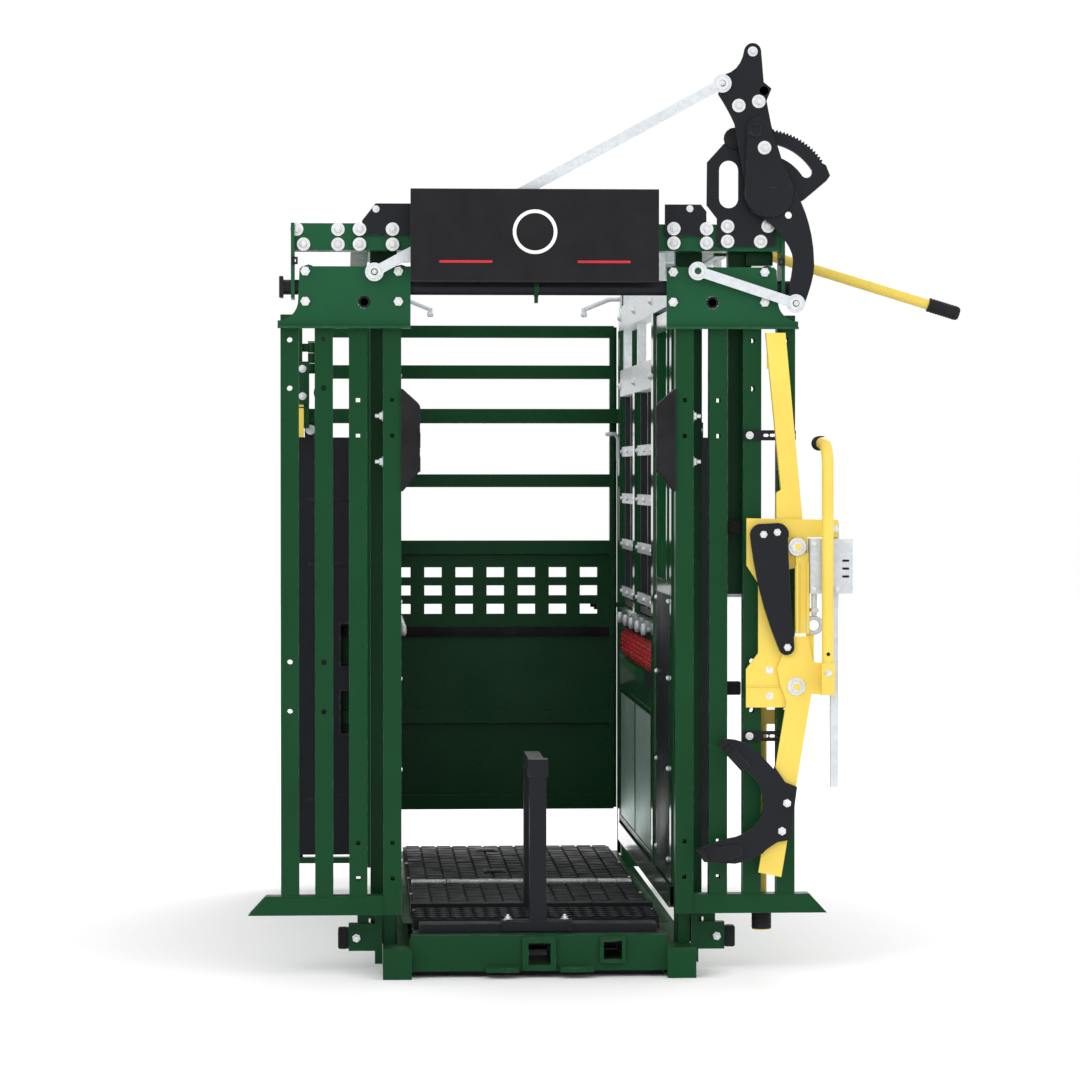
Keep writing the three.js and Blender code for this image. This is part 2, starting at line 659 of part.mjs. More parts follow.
// The swinging arm: below its pin it carries the jaw, above it the operating handle.
function lowerArm() {
  const [pinX, pinZ] = sweepArm.pin;
  const shape = outline([
    [697, 952], [752, 952], [764, 880], [816, 876], [816, 790], [760, 790], [676, 279],
    [612, 292], [624, 372], [690, 770], [672, 820], [664, 862],
  ]);
  const plate = frontPlate(shape, layer.lower[0], layer.lower[1]);
  const bored = cut(plate, rodY(pinX, pinZ, 12 + RUNNING, -100, -50, 14));
  const socket = tube(ALONG_Z, 3, 781, 817, layer.handle[0] - 18, layer.handle[0] + 18, 791, 880);
  const web = block(790, 808, layer.handle[0] + 17, layer.lower[0] + 1, 795, 872);
  return join(bored, socket, web);
}

function sweepHandle() {
  const [y, r] = layer.handle;
  const path = new THREE.CurvePath();
  const v = (x, yy, z) => new THREE.Vector3(x, yy, z);
  path.add(new THREE.LineCurve3(v(799, y, 793), v(799, y, 1440)));
  path.add(new THREE.QuadraticBezierCurve3(v(799, y, 1440), v(799, y, 1500), v(796, y + 55, 1500)));
  path.add(new THREE.LineCurve3(v(796, y + 55, 1500), v(792, y + 150, 1500)));
  const section = new THREE.Shape();
  section.absarc(0, 0, r - 3 - GAP, 0, 2 * Math.PI);
  const geometry = new THREE.ExtrudeGeometry(section, {
    steps: 15, extrudePath: path, bevelEnabled: false, curveSegments: 5,
  });
  return toManifold(geometry);
}

// Crescent jaw that narrows to both tips, with a bolting flange outside and a pad over each tip.
function jawPlate() {
  const curve = (points) => new THREE.SplineCurve(points.map(([x, z]) => new THREE.Vector2(x, z)));
  const inside = curve(jaw.inside).getPoints(16);
  const outside = curve(jaw.outside).getPoints(16);
  const rim = [...inside, ...outside].map((corner) => [corner.x, corner.y]);
  const plate = frontPlate(outline(rim), layer.front[0], layer.front[1]);
  const flange = frontPlate(outline(jaw.flange), layer.front[0], layer.front[1]);
  const pads = jaw.pads.map((points) => frontPlate(outline(points), layer.front[0] - 10, layer.front[1] + 2));
  const studs = [[690, 487], [676, 409]].map(([x, z]) =>
    rodY(x, z, 9, layer.front[1] - 1, layer.lower[0] - GAP, 8));
  return join(plate, flange, ...pads, ...studs);
}

// Ratchet housing beside the stay, a hanging release bar and a tensioning rod.
function ratchetBox() {
  const [front, back] = layer.box;
  const shell = block(754, 872, front, back, 1072, 1225);
  const channel = block(813, 839, layer.bar[0] - 2, layer.bar[1] + 2, 1060, 1212);
  const tab = block(812, 840, layer.plate[1] + GAP, back - 6, 1215, 1270);
  const neck = rodZ(768, (front + back) / 2, 8, 1012, 1073, 10);
  return join(cut(shell, channel), tab, neck);
}

function releaseBar() {
  return block(815, 837, layer.bar[0], layer.bar[1], 529, 1130);
}

// Tube behind the leaf with a rubber foot, held by a short arm on the last upright.
function dropTube() {
  const tubeBody = rodZ(634, 41, 15, 160, 753, 14);
  const foot = rodZ(634, 41, 26.5, 119, 168, 16);
  const arm = block(640, 700, leaf.tube / 2 + GAP, 50, 700, 740);
  return join(tubeBody, foot, arm);
}

const sweepGroup = new THREE.Group();
chute.add(sweepGroup);
piece('sweep_hanger', sweepHanger(), paints.yellow, sweepGroup);
piece('sweep_plate', sweepPlate(), paints.yellow, sweepGroup);
piece('sweep_side_link', sideLink(), paints.black, sweepGroup);
piece('sweep_arm', lowerArm(), paints.yellow, sweepGroup);
piece('sweep_handle', sweepHandle(), paints.yellow, sweepGroup);
piece('jaw', jawPlate(), paints.black, sweepGroup);
piece('ratchet_box', ratchetBox(), paints.steel, sweepGroup);
piece('release_bar', releaseBar(), paints.steel, sweepGroup);
piece('drop_tube', dropTube(), paints.yellow, sweepGroup);

// ---------------------------------------------------------------- side walls

// Sill, three posts, latch rail and the two shelf strips between them.
function wallFrame(side) {
  const w = wall;
  const [x0, x1] = [side * w.inner, side * w.outer];
  const tall = [w.frontPost, w.rearPost].map(([y0, y1]) =>
    ({ box: [x0, x1, y0, y1, w.sillHigh - 1, w.topLow - GAP], open: ['+z'] }));
  const tubes = tubeFrame(w.thick, [
    { box: [x0, x1, w.front, w.back, w.sillLow, w.sillHigh], open: ['-y', '+y'] },
    ...tall,
    { box: [x0, x1, w.midPost[0], w.midPost[1], w.latchHigh - 1, w.beamLow - GAP], open: ['+z'] },
    { box: [x0, x1, w.frontPost[0], w.rearPost[1], w.latchLow, w.latchHigh] },
  ]);
  const shelves = [[w.frontPost[1] - 1, w.midPost[1]], [w.midPost[1] - 1, w.rearPost[0] + 1]].map(([y0, y1]) =>
    block(side * (w.inner + 8), x1, y0, y1, w.shelfLow, w.shelfHigh));
  return join(tubes, ...shelves);
}

// The upper beams have two hooks, which hang the wall on the cross rails so that it can slide sideways.
function upperBeams(side) {
  const w = wall;
  const [x0, x1] = [side * (w.inner + 2), side * (w.outer - 2)];
  const braces = [w.frontPost[1] + 1, w.midPost[0], w.rearPost[0] - 51].map((y) =>
    ({ box: [side * (w.inner + 12), side * (w.outer - 12), y, y + 50, w.beamHigh - 10, w.topLow + 10] }));
  const beams = tubeFrame(w.thick, [
    { box: [x0, x1, w.front, w.back, w.topLow, w.topHigh], open: ['-y', '+y'] },
    { box: [x0, x1, w.frontPost[1] + GAP, w.rearPost[0] - GAP, w.beamLow, w.beamHigh] },
    ...braces,
  ]);
  const hooks = crossRail.y.map((y) => cut(
    block(x0, x1, y - crossRail.half - 12, y + crossRail.half + 12, w.topHigh - 1, crossRail.high + 14),
    block(-900, 900, y - crossRail.half - GAP, y + crossRail.half + GAP,
      crossRail.low - 24, crossRail.high + GAP),
  ));
  return join(beams, ...hooks);
}

const crossRail = { y: [860, 1900], half: 22, low: 2046, high: 2088 };

function neckDoorPanel(side) {
  const d = neckDoor;
  const [x0, x1] = [side * 386, side * 424];
  const back = d.hingeY - 2;
  const stiles = [[wall.front, wall.front + d.stile], [back - d.stile, back]].map(([y0, y1]) =>
    ({ box: [x0, x1, y0, y1, d.low, d.high], open: ['-z'] }));
  const levels = [[d.low, d.low + 40], [d.sheetHigh - 40, d.sheetHigh], [d.high - d.stile, d.high]];
  const rails = levels.map(([z0, z1]) => ({ box: [x0, x1, wall.front, back, z0, z1] }));
  const frame = tubeFrame(d.thick, [...stiles, ...rails]);
  const sheet = block(side * 387, side * 391, wall.front + d.stile - 1, back - d.stile + 1,
    d.low + 39, d.sheetHigh - 39);
  const bar = block(side * 396, side * 414, 400, 430, d.sheetHigh - 1, d.high - d.stile + 1);
  return join(frame, sheet, bar);
}

// Drop-down panel with a rim and a top edge that slopes away from the animal.
function lowerDropPanel(side) {
  const p = lowerPanel;
  const inner = 384;
  const shape = outline([
    [side * inner, p.low], [side * inner, p.high - p.slope], [side * (inner + p.thick), p.high],
    [side * (inner + p.thick), p.low],
  ]);
  const [y0, y1] = [wall.frontPost[1] + 5, wall.rearPost[0] - 5];
  const body = frontPlate(shape, y0, y1);
  const recess = block(side * (inner + 6), side * 900, y0 + 30, y1 - 30, p.low + 30, p.high - p.slope - 20);
  return cut(body, recess);
}

// A gate of upright bars tied by flat slats. It folds down and out on its bottom edge.
function dropGatePanel(side, y0, y1) {
  const g = dropGate;
  const bars = [];
  for (let i = 0; i < g.bars; i += 1) {
    const y = y0 + (i * (y1 - y0 - g.barWidth)) / (g.bars - 1);
    bars.push(block(side * 396, side * 422, y, y + g.barWidth, g.low, g.high));
  }
  const slats = g.slatHeights.map((z) => block(side * 390, side * 397, y0 - 8, y1 + 8, z - 17, z + 17));
  const foot = block(side * 396, side * 422, y0, y1, g.low, g.low + 20);
  return join(...bars, ...slats, foot);
}

function latchBank(side) {
  const shelfZ = 800 + GAP;
  const back = block(side * 396, side * 404, 790, 2060, shelfZ, wall.latchLow - GAP);
  const louvres = [];
  for (let i = 0; i < 16; i += 1) {
    const y = 800 + i * 78;
    louvres.push(block(side * 384, side * 397, y, y + 52, 812, 879));
  }
  return join(back, ...louvres);
}

const walls = new THREE.Group();
chute.add(walls);
for (const side of [-1, 1]) {
  const name = sideName(side);
  const group = new THREE.Group();
  walls.add(group);
  piece(`${name}_wall_frame`, wallFrame(side), paints.green, group);
  piece(`${name}_upper_beams`, upperBeams(side), paints.steel, group);
  piece(`${name}_neck_door`, neckDoorPanel(side), paints.green, group);
  piece(`${name}_lower_panel`, lowerDropPanel(side), paints.green, group);
  piece(`${name}_latch_bank`, latchBank(side), paints.red, group);
  const bays = [[wall.frontPost[1] + 30, wall.midPost[0] - 30], [wall.midPost[1] + 30, wall.rearPost[0] - 30]];
  piece(`${name}_front_drop_gate`, dropGatePanel(side, ...bays[0]), paints.black, group);
  piece(`${name}_rear_drop_gate`, dropGatePanel(side, ...bays[1]), paints.black, group);
}

// Two rails across the top carry both walls.
crossRail.y.forEach((y, i) => {
  const reach = topRail.inner - GAP;
  const rail = tube(ALONG_X, 4, -reach, reach, y - crossRail.half, y + crossRail.half,
    crossRail.low, crossRail.high);
  piece(i === 0 ? 'front_cross_rail' : 'rear_cross_rail', rail, paints.steel);
});

// ---------------------------------------------------------------- rear end

const tail = { front: 2238, back: 2262, inner: 385, outer: 708, low: 113, high: 1530, sheet: 5, rim: 40 };
const gate = { front: 2275, back: 2311, left: -632, right: 375 };
const gateRails = [[262, 310], [556, 599], [1133, 1179], [1361, 1405], [1730, 1776], [1870, 1911]];

// Upper and lower tracks for the sliding halves, with the post that the rear gate hangs from.
function tailTrack() {
  const top = block(-664, 664, rearPost.back + GAP, 2268, 1582, 1627);
  const bottom = block(-720, 664, rearPost.back + GAP, 2268, 84.3, 104);
  const topArm = block(-720, -663, rearPost.back + GAP, 2310, 1582, 1627);
  const bottomArm = block(-720, -686, 2260, 2310, 84.3, 104);
  const hingePost = block(-720, -686, 2272, 2310, 84.3, 1911);
  return join(top, bottom, topArm, bottomArm, hingePost);
}

function tailPanel(side) {
  const t = tail;
  const panel = block(side * t.inner, side * t.outer, t.front, t.back, t.low, t.high);
  const slots = [[752, 898], [524, 670]].map(([z0, z1]) => block(side * 528, side * 556, 2200, 2300, z0, z1));
  const bays = [[t.low + t.rim, 500], [924, t.high - t.rim]].map(([z0, z1]) =>
    block(side * (t.inner + t.rim), side * (t.outer - t.rim), t.front + t.sheet, t.back + 5, z0, z1));
  const hangers = [t.inner + 30, t.outer - 70].map((x) =>
    block(side * x, side * (x + 40), t.front + 4, t.back - 4, t.high - 1, 1582 - GAP));
  return join(cut(panel, ...slots, ...bays), ...hangers);
}

// Rails over a sheet with three rows of rectangular holes.
function rearGate() {
  const g = gate;
  const [lowest, highest] = [gateRails[0][0], gateRails.at(-1)[1]];
  const tubes = tubeFrame(3, [
    ...gateRails.map(([z0, z1]) => ({ box: [g.left, g.right, g.front, g.back, z0, z1] })),
    { box: [g.left, g.left + 40, g.front, g.back, lowest, highest], open: ['-z'] },
  ]);
  const middle = (g.front + g.back) / 2;
  const sheets = [0, 1].map((i) => block(g.left + 39, g.right - 2, middle - 3, middle + 3,
    gateRails[i][1] - 1, gateRails[i + 1][0] + 1));
  const band = block(g.left + 2, g.right - 2, g.front + 6, g.back - 6, 851, 886);
  const holes = [];
  for (const z of [929, 992, 1054]) {
    for (let column = 0; column < 7; column += 1) {
      const x = -378 + column * 106.3;
      holes.push(block(x, x + 59, g.front - 5, g.back + 5, z, z + 33.5));
    }
  }
  const closingStile = block(g.right - 14, g.right, g.front, g.back, lowest, highest);
  return join(cut(join(...sheets, band), ...holes), tubes, closingStile);
}

piece('tail_track', tailTrack(), paints.green);
piece('left_tail_panel', tailPanel(-1), paints.black);
piece('right_tail_panel', tailPanel(1), paints.black);
piece('rear_gate', rearGate(), paints.green);

export default chute;
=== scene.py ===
"""Looks of a cattle squeeze chute: materials, fasteners, rubber, welds, light and camera."""

import json
import math
import random

import bmesh
import bpy
from mathutils import Matrix, Vector


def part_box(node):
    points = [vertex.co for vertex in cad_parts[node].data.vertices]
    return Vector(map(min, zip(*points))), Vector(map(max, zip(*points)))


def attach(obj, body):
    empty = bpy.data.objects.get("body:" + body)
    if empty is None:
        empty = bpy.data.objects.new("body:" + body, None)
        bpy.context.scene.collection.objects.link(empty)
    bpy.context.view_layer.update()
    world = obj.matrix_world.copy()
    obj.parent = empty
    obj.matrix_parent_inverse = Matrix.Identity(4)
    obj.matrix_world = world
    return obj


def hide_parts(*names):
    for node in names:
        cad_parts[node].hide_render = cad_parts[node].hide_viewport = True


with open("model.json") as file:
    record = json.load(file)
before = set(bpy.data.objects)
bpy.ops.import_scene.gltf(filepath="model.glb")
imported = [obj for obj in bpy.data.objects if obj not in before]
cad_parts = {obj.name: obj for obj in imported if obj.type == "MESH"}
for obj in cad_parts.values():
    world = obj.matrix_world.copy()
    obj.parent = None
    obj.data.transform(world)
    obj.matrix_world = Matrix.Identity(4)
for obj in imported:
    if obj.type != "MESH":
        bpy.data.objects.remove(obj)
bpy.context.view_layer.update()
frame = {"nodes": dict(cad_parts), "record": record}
nodes = frame["nodes"]
scene = bpy.context.scene

MM = 0.001
SEED = 7


# ---- camera

CAMERA_PLACE = (-0.538, -10.5, 1.404)
CAMERA_YAW = 2.96
CAMERA_PITCH = 1.0
LENS = 125.0
SENSOR = 36.0


def make_camera():
    data = bpy.data.cameras.new("camera")
    data.sensor_width = SENSOR
    data.lens = LENS
    data.clip_end = 100
    camera = bpy.data.objects.new("camera", data)
    camera.location = CAMERA_PLACE
    camera.rotation_euler = (math.radians(90 - CAMERA_PITCH), 0, math.radians(-CAMERA_YAW))
    scene.collection.objects.link(camera)
    scene.camera = camera


make_camera()


# ---- floor and light

def make_stage():
    bm = bmesh.new()
    bmesh.ops.create_grid(bm, x_segments=1, y_segments=1, size=30)
    mesh = bpy.data.meshes.new("floor")
    bm.to_mesh(mesh)
    bm.free()
    floor = bpy.data.objects.new("floor", mesh)
    floor.location.z = -0.0005
    scene.collection.objects.link(floor)
    material = bpy.data.materials.new("pale_floor")
    material.use_nodes = True
    shader = material.node_tree.nodes["Principled BSDF"]
    shader.inputs["Base Color"].default_value = (0.94, 0.94, 0.94, 1)
    shader.inputs["Roughness"].default_value = 0.9
    mesh.materials.append(material)


def area_light(name, place, target, size, power):
    data = bpy.data.lights.new(name, "AREA")
    data.shape = "SQUARE"
    data.size = size
    data.energy = power
    light = bpy.data.objects.new(name, data)
    light.location = place
    aim = Vector(target) - Vector(place)
    light.rotation_euler = aim.to_track_quat("-Z", "Y").to_euler()
    scene.collection.objects.link(light)


def make_light():
    world = bpy.data.worlds.new("studio")
    scene.world = world
    world.use_nodes = True
    tree = world.node_tree
    direction = tree.nodes.new("ShaderNodeTexCoord")
    split = tree.nodes.new("ShaderNodeSeparateXYZ")
    sky = tree.nodes.new("ShaderNodeMapRange")
    sky.inputs["From Min"].default_value = 0.0
    sky.inputs["From Max"].default_value = 0.9
    sky.inputs["To Min"].default_value = 1.0
    sky.inputs["To Max"].default_value = 1.25
    tree.links.new(direction.outputs["Generated"], split.inputs[0])
    tree.links.new(split.outputs["Z"], sky.inputs["Value"])
    background = tree.nodes["Background"]
    background.inputs["Color"].default_value = (1, 1, 1, 1)
    tree.links.new(sky.outputs["Result"], background.inputs["Strength"])
    area_light("key_light", (-5.5, -7.5, 6.5), (0, 0.3, 1.2), 4.0, 210)
    area_light("fill_light", (6.0, -6.0, 3.0), (0, 0.5, 1.1), 4.0, 60)
    area_light("rear_light", (2.5, 7.5, 5.5), (0, 1.6, 1.0), 4.0, 150)
    scene.view_settings.view_transform = "Standard"


make_stage()
make_light()


# ---- materials

class Graph:
    """Short names for the nodes of one material."""

    def __init__(self, name):
        self.material = bpy.data.materials.new(name)
        self.material.use_nodes = True
        self.tree = self.material.node_tree
        self.shader = self.tree.nodes["Principled BSDF"]
        self.place = self.add("ShaderNodeTexCoord").outputs["Object"]

    def add(self, kind, **settings):
        node = self.tree.nodes.new(kind)
        for key, value in settings.items():
            setattr(node, key, value)
        return node

    def link(self, source, target):
        self.tree.links.new(source, target)

    def noise(self, scale, detail=3.0, roughness=0.5, stretch=None):
        node = self.add("ShaderNodeTexNoise")
        node.inputs["Scale"].default_value = scale
        node.inputs["Detail"].default_value = detail
        node.inputs["Roughness"].default_value = roughness
        source = self.place
        if stretch:
            mapping = self.add("ShaderNodeMapping")
            mapping.inputs["Scale"].default_value = stretch
            self.link(source, mapping.inputs["Vector"])
            source = mapping.outputs["Vector"]
        self.link(source, node.inputs["Vector"])
        return node.outputs["Fac"]

    def ramp(self, source, low, high, bottom=0.0, top=1.0):
        node = self.add("ShaderNodeMapRange")
        node.inputs["From Min"].default_value = low
        node.inputs["From Max"].default_value = high
        node.inputs["To Min"].default_value = bottom
        node.inputs["To Max"].default_value = top
        self.link(source, node.inputs["Value"])
        return node.outputs["Result"]

    def math(self, operation, a, b):
        node = self.add("ShaderNodeMath", operation=operation)
        for socket, value in zip(node.inputs, (a, b)):
            if isinstance(value, (int, float)):
                socket.default_value = value
            else:
                self.link(value, socket)
        return node.outputs["Value"]

    def mix(self, factor, a, b):
        node = self.add("ShaderNodeMix", data_type="RGBA")
        sockets = [s for s in node.inputs if s.type == "RGBA"]
        self.link(factor, node.inputs[0])
        for socket, value in zip(sockets, (a, b)):
            if isinstance(value, tuple):
                socket.default_value = (*value, 1)
            else:
                self.link(value, socket)
        return next(s for s in node.outputs if s.type == "RGBA")

    def edges(self, reach=0.0035, low=0.03, high=0.22):
        """1 on edges and corners, 0 on flats: where the softened normal leaves the true one."""
        soft = self.add("ShaderNodeBevel", samples=4)
        soft.inputs["Radius"].default_value = reach
        compare = self.add("ShaderNodeVectorMath", operation="DOT_PRODUCT")
        self.link(soft.outputs["Normal"], compare.inputs[0])
        self.link(self.add("ShaderNodeNewGeometry").outputs["Normal"], compare.inputs[1])
        return self.ramp(self.math("SUBTRACT", 1.0, compare.outputs["Value"]), low, high)

    def facing_up(self, low=0.6, high=0.95):
        split = self.add("ShaderNodeSeparateXYZ")
        self.link(self.add("ShaderNodeNewGeometry").outputs["Normal"], split.inputs[0])
        return self.ramp(split.outputs["Z"], low, high)

    def bump(self, height, strength, distance):
        node = self.add("ShaderNodeBump")
        node.inputs["Strength"].default_value = strength
        node.inputs["Distance"].default_value = distance
        self.link(height, node.inputs["Height"])
        self.link(node.outputs["Normal"], self.shader.inputs["Normal"])

    def set(self, **values):
        for key, value in values.items():
            self.shader.inputs[key.replace("_", " ")].default_value = value


def shade(color, factor):
    return tuple(min(1.0, c * factor) for c in color)


def painted(name, color, rough=(0.26, 0.4), worn=0.35, dust=0.12, coat=0.03, shine=0.09):
    """Powder coat: soft orange peel, uneven gloss, lighter rubbed edges and a little dust on top faces."""
    g = Graph(name)
    broad = g.noise(3.1, 4.0)
    body = g.mix(g.ramp(broad, 0.35, 0.68), shade(color, 0.92), shade(color, 1.08))
    scuffs = g.ramp(g.noise(38, 6.0, 0.7, stretch=(1, 1, 0.15)), 0.66, 0.76, 0.0, 0.25)
    body = g.mix(scuffs, body, shade(color, 1.3))
    rub = g.math("MULTIPLY", g.edges(), g.ramp(g.noise(46, 3.0), 0.46, 0.66, 0.0, worn))
    pale = tuple(c * 0.55 + 0.22 for c in color)
    body = g.mix(rub, body, pale)
    dusty = g.math("MULTIPLY", g.facing_up(), g.ramp(g.noise(14, 5.0, 0.65), 0.4, 0.75, 0.0, dust))
    body = g.mix(dusty, body, (0.36, 0.34, 0.30))
    g.link(body, g.shader.inputs["Base Color"])
    rough_map = g.ramp(g.noise(9, 5.0, 0.6), 0.3, 0.75, *rough)
    g.link(g.math("ADD", rough_map, g.math("MULTIPLY", dusty, 0.8)), g.shader.inputs["Roughness"])
    g.bump(g.noise(420, 2.0), 0.10, 0.0006)
    g.set(Coat_Weight=coat, Coat_Roughness=0.12, Specular_IOR_Level=shine)
    return g.material


def galvanised(name, color=(0.70, 0.73, 0.75), metallic=0.55, rough=(0.3, 0.48)):
    """Zinc: faint spangle and darker weathered patches."""
    g = Graph(name)
    cells = g.add("ShaderNodeTexVoronoi", feature="F1")
    cells.inputs["Scale"].default_value = 95
    g.link(g.place, cells.inputs["Vector"])
    tone = g.add("ShaderNodeSeparateXYZ")
    g.link(cells.outputs["Color"], tone.inputs[0])
    body = g.mix(g.ramp(tone.outputs["X"], 0, 1), shade(color, 0.93), shade(color, 1.05))
    body = g.mix(g.ramp(g.noise(6, 4.0), 0.5, 0.8, 0, 0.35), body, shade(color, 0.72))
    body = g.mix(g.ramp(g.noise(70, 4.0, 0.7), 0.66, 0.76, 0, 0.5), body, (0.50, 0.47, 0.42))
    g.link(body, g.shader.inputs["Base Color"])
    g.link(g.ramp(tone.outputs["Y"], 0, 1, *rough), g.shader.inputs["Roughness"])
    g.bump(g.noise(300, 3.0), 0.08, 0.0004)
    g.set(Metallic=metallic, Specular_IOR_Level=0.5)
    return g.material


def rubber(name, color=(0.010, 0.0100, 0.0112), rough=(0.5, 0.75), grain=620, dust=0.3):
    """Moulded rubber: fine pebble grain, rubbed paler edges and grey dust in the low tones."""
    g = Graph(name)
    body = g.mix(g.ramp(g.noise(11, 4.0), 0.35, 0.7), shade(color, 0.8), shade(color, 1.5))
    body = g.mix(g.math("MULTIPLY", g.edges(), 0.35), body, shade(color, 4.5))
    dusty = g.ramp(g.noise(26, 6.0, 0.7), 0.48, 0.8, 0, dust)
    body = g.mix(g.math("MULTIPLY", dusty, g.facing_up(0.3, 0.9)), body, (0.13, 0.125, 0.115))
    g.link(body, g.shader.inputs["Base Color"])
    g.link(g.ramp(g.noise(17, 4.0), 0.3, 0.7, *rough), g.shader.inputs["Roughness"])
    g.bump(g.noise(grain, 2.0), 0.22, 0.0005)
    g.set(Specular_IOR_Level=0.14)
    return g.material


def moulded(name, color, rough=(0.22, 0.4), coat=0.2, shine=0.3):
    """Plastic: slight mottling, very fine grain and scuffed edges."""
    g = Graph(name)
    body = g.mix(g.ramp(g.noise(13, 4.0), 0.35, 0.7), shade(color, 0.85), shade(color, 1.15))
    body = g.mix(g.math("MULTIPLY", g.edges(), 0.3), body, tuple(c * 0.7 + 0.12 for c in color))
    g.link(body, g.shader.inputs["Base Color"])
    g.link(g.ramp(g.noise(33, 5.0), 0.3, 0.75, *rough), g.shader.inputs["Roughness"])
    g.bump(g.noise(900, 2.0), 0.08, 0.0003)
    g.set(Coat_Weight=coat, Coat_Roughness=0.2, Specular_IOR_Level=shine)
    return g.material


GREEN = (0.0055, 0.050, 0.0165)
# A lighter copy of the same green paint: painted light on the upper front plates.
LIT_GREEN = (0.011, 0.078, 0.032)
BLACK = (0.0085, 0.0095, 0.013)
YELLOW = (0.78, 0.585, 0.10)

# Each look: its material, and the record's slot that it belongs to.
LOOKS = {
    "green_paint": (painted("green_paint", GREEN), "green_paint"),
    "gloss_green": (painted("gloss_green_paint", GREEN, rough=(0.10, 0.20), worn=0.2, dust=0.1, coat=0.7,
                            shine=0.2), "green_paint"),
    "lit_plate_green": (painted("lit_green_plate_paint", LIT_GREEN, rough=(0.22, 0.36)), "green_paint"),
    "black_paint": (painted("black_paint", BLACK, rough=(0.34, 0.5), worn=0.3, dust=0.2, shine=0.16),
                    "black_paint"),
    "yellow_paint": (painted("yellow_paint", YELLOW, rough=(0.3, 0.44), worn=0.12, dust=0.2, coat=0.1,
                             shine=0.24), "yellow_paint"),
    "galvanised": (galvanised("galvanised"), "galvanised"),
    "link_steel": (galvanised("link_steel", (0.60, 0.635, 0.66), metallic=0.2, rough=(0.34, 0.5)),
                   "galvanised"),
    "bolt_steel": (galvanised("bolt_steel", (0.72, 0.73, 0.74), metallic=0.5, rough=(0.22, 0.4)),
                   "galvanised"),
    "zinc_dark": (galvanised("zinc_dark", (0.56, 0.59, 0.62), metallic=0.5, rough=(0.3, 0.5)), "galvanised"),
    # A pale metallic green for the green-painted inner sheet of the drop panels: a painted reflection of its
    # gloss.
    "reflection_liner": (galvanised("reflection_liner", (0.62, 0.80, 0.73), metallic=0.95, rough=(0.42, 0.52)), "galvanised"),
    "white_vinyl": (moulded("white_vinyl", (0.80, 0.80, 0.79), rough=(0.3, 0.4), coat=0.1), "galvanised"),
    "rubber": (rubber("rubber"), "rubber"),
    "mat_rubber": (rubber("mat_rubber", (0.012, 0.0125, 0.015), rough=(0.34, 0.55), dust=0.15), "rubber"),
    "black_poly": (moulded("black_poly", (0.012, 0.011, 0.013), rough=(0.32, 0.5), coat=0.02, shine=0.12),
                   "black_poly"),
    "red_plastic": (moulded("red_plastic", (0.56, 0.012, 0.022)), "red_plastic"),
}

SLOT_OF = {row["node"]: row["material_slot"] for row in frame["record"]["subparts"]}
REPAINTED = {
    # The lighter copy of the green paint, painted light on the leaf plates and the header beam.
    "lit_plate_green": ("left_leaf_plate", "right_leaf_plate", "header_beam"),
    "link_steel": ("long_link", "short_link", "ratchet_box", "release_bar"),
    "gloss_green": ("left_lower_panel", "right_lower_panel", "left_wall_frame", "right_wall_frame",
                    "left_neck_door", "right_neck_door"),
}
LOOK_OF = {**SLOT_OF, **{node: look for look, held in REPAINTED.items() for node in held}}


def finish_cad_nodes():
    """Every CAD node that stays gets its look and softly broken edges."""
    for name, obj in nodes.items():
        material = LOOKS[LOOK_OF[name]][0]
        obj.data.materials.clear()
        obj.data.materials.append(material)
        for polygon in obj.data.polygons:
            polygon.material_index = 0
        soften = obj.modifiers.new("broken_edges", "BEVEL")
        soften.width = 1.6 * MM
        soften.segments = 2
        soften.limit_method = "ANGLE"
        soften.angle_limit = math.radians(38)
        soften.harden_normals = True
        soften.use_clamp_overlap = True


finish_cad_nodes()


# ---- mesh building

def add_lathe(bm, profile, place, direction, segments=24, phase=0.0):
    """Revolves (radius, height) points round direction; a radius of 0 closes the end."""
    turn = Vector(direction).to_track_quat("Z", "Y").to_matrix()
    origin = Vector(place)
    rings = []
    for radius, height in profile:
        count = 1 if radius == 0 else segments
        ring = []
        for i in range(count):
            a = phase + 2 * math.pi * i / segments
            point = Vector((radius * math.cos(a), radius * math.sin(a), height))
            ring.append(bm.verts.new(origin + turn @ point))
        rings.append(ring)
    for low, high in zip(rings, rings[1:]):
        for i in range(segments):
            j = (i + 1) % segments
            corners = [low[i % len(low)], low[j % len(low)], high[j % len(high)], high[i % len(high)]]
            unique = list(dict.fromkeys(corners))
            if len(unique) > 2:
                bm.faces.new(unique)


def barrel(radius, length):
    """Profile of a pin or hinge barrel with small chamfers at both ends."""
    inner, cut = radius - 0.001, 0.001
    return [(0, 0), (inner, 0), (radius, cut), (radius, length - cut), (inner, length), (0, length)]


def disc(radius, height, inward, down):
    """Profile of a disc or short pin; its far rim is cut inward and down."""
    return [(0, 0), (radius, 0), (radius, height - down), (radius - inward, height), (0, height)]


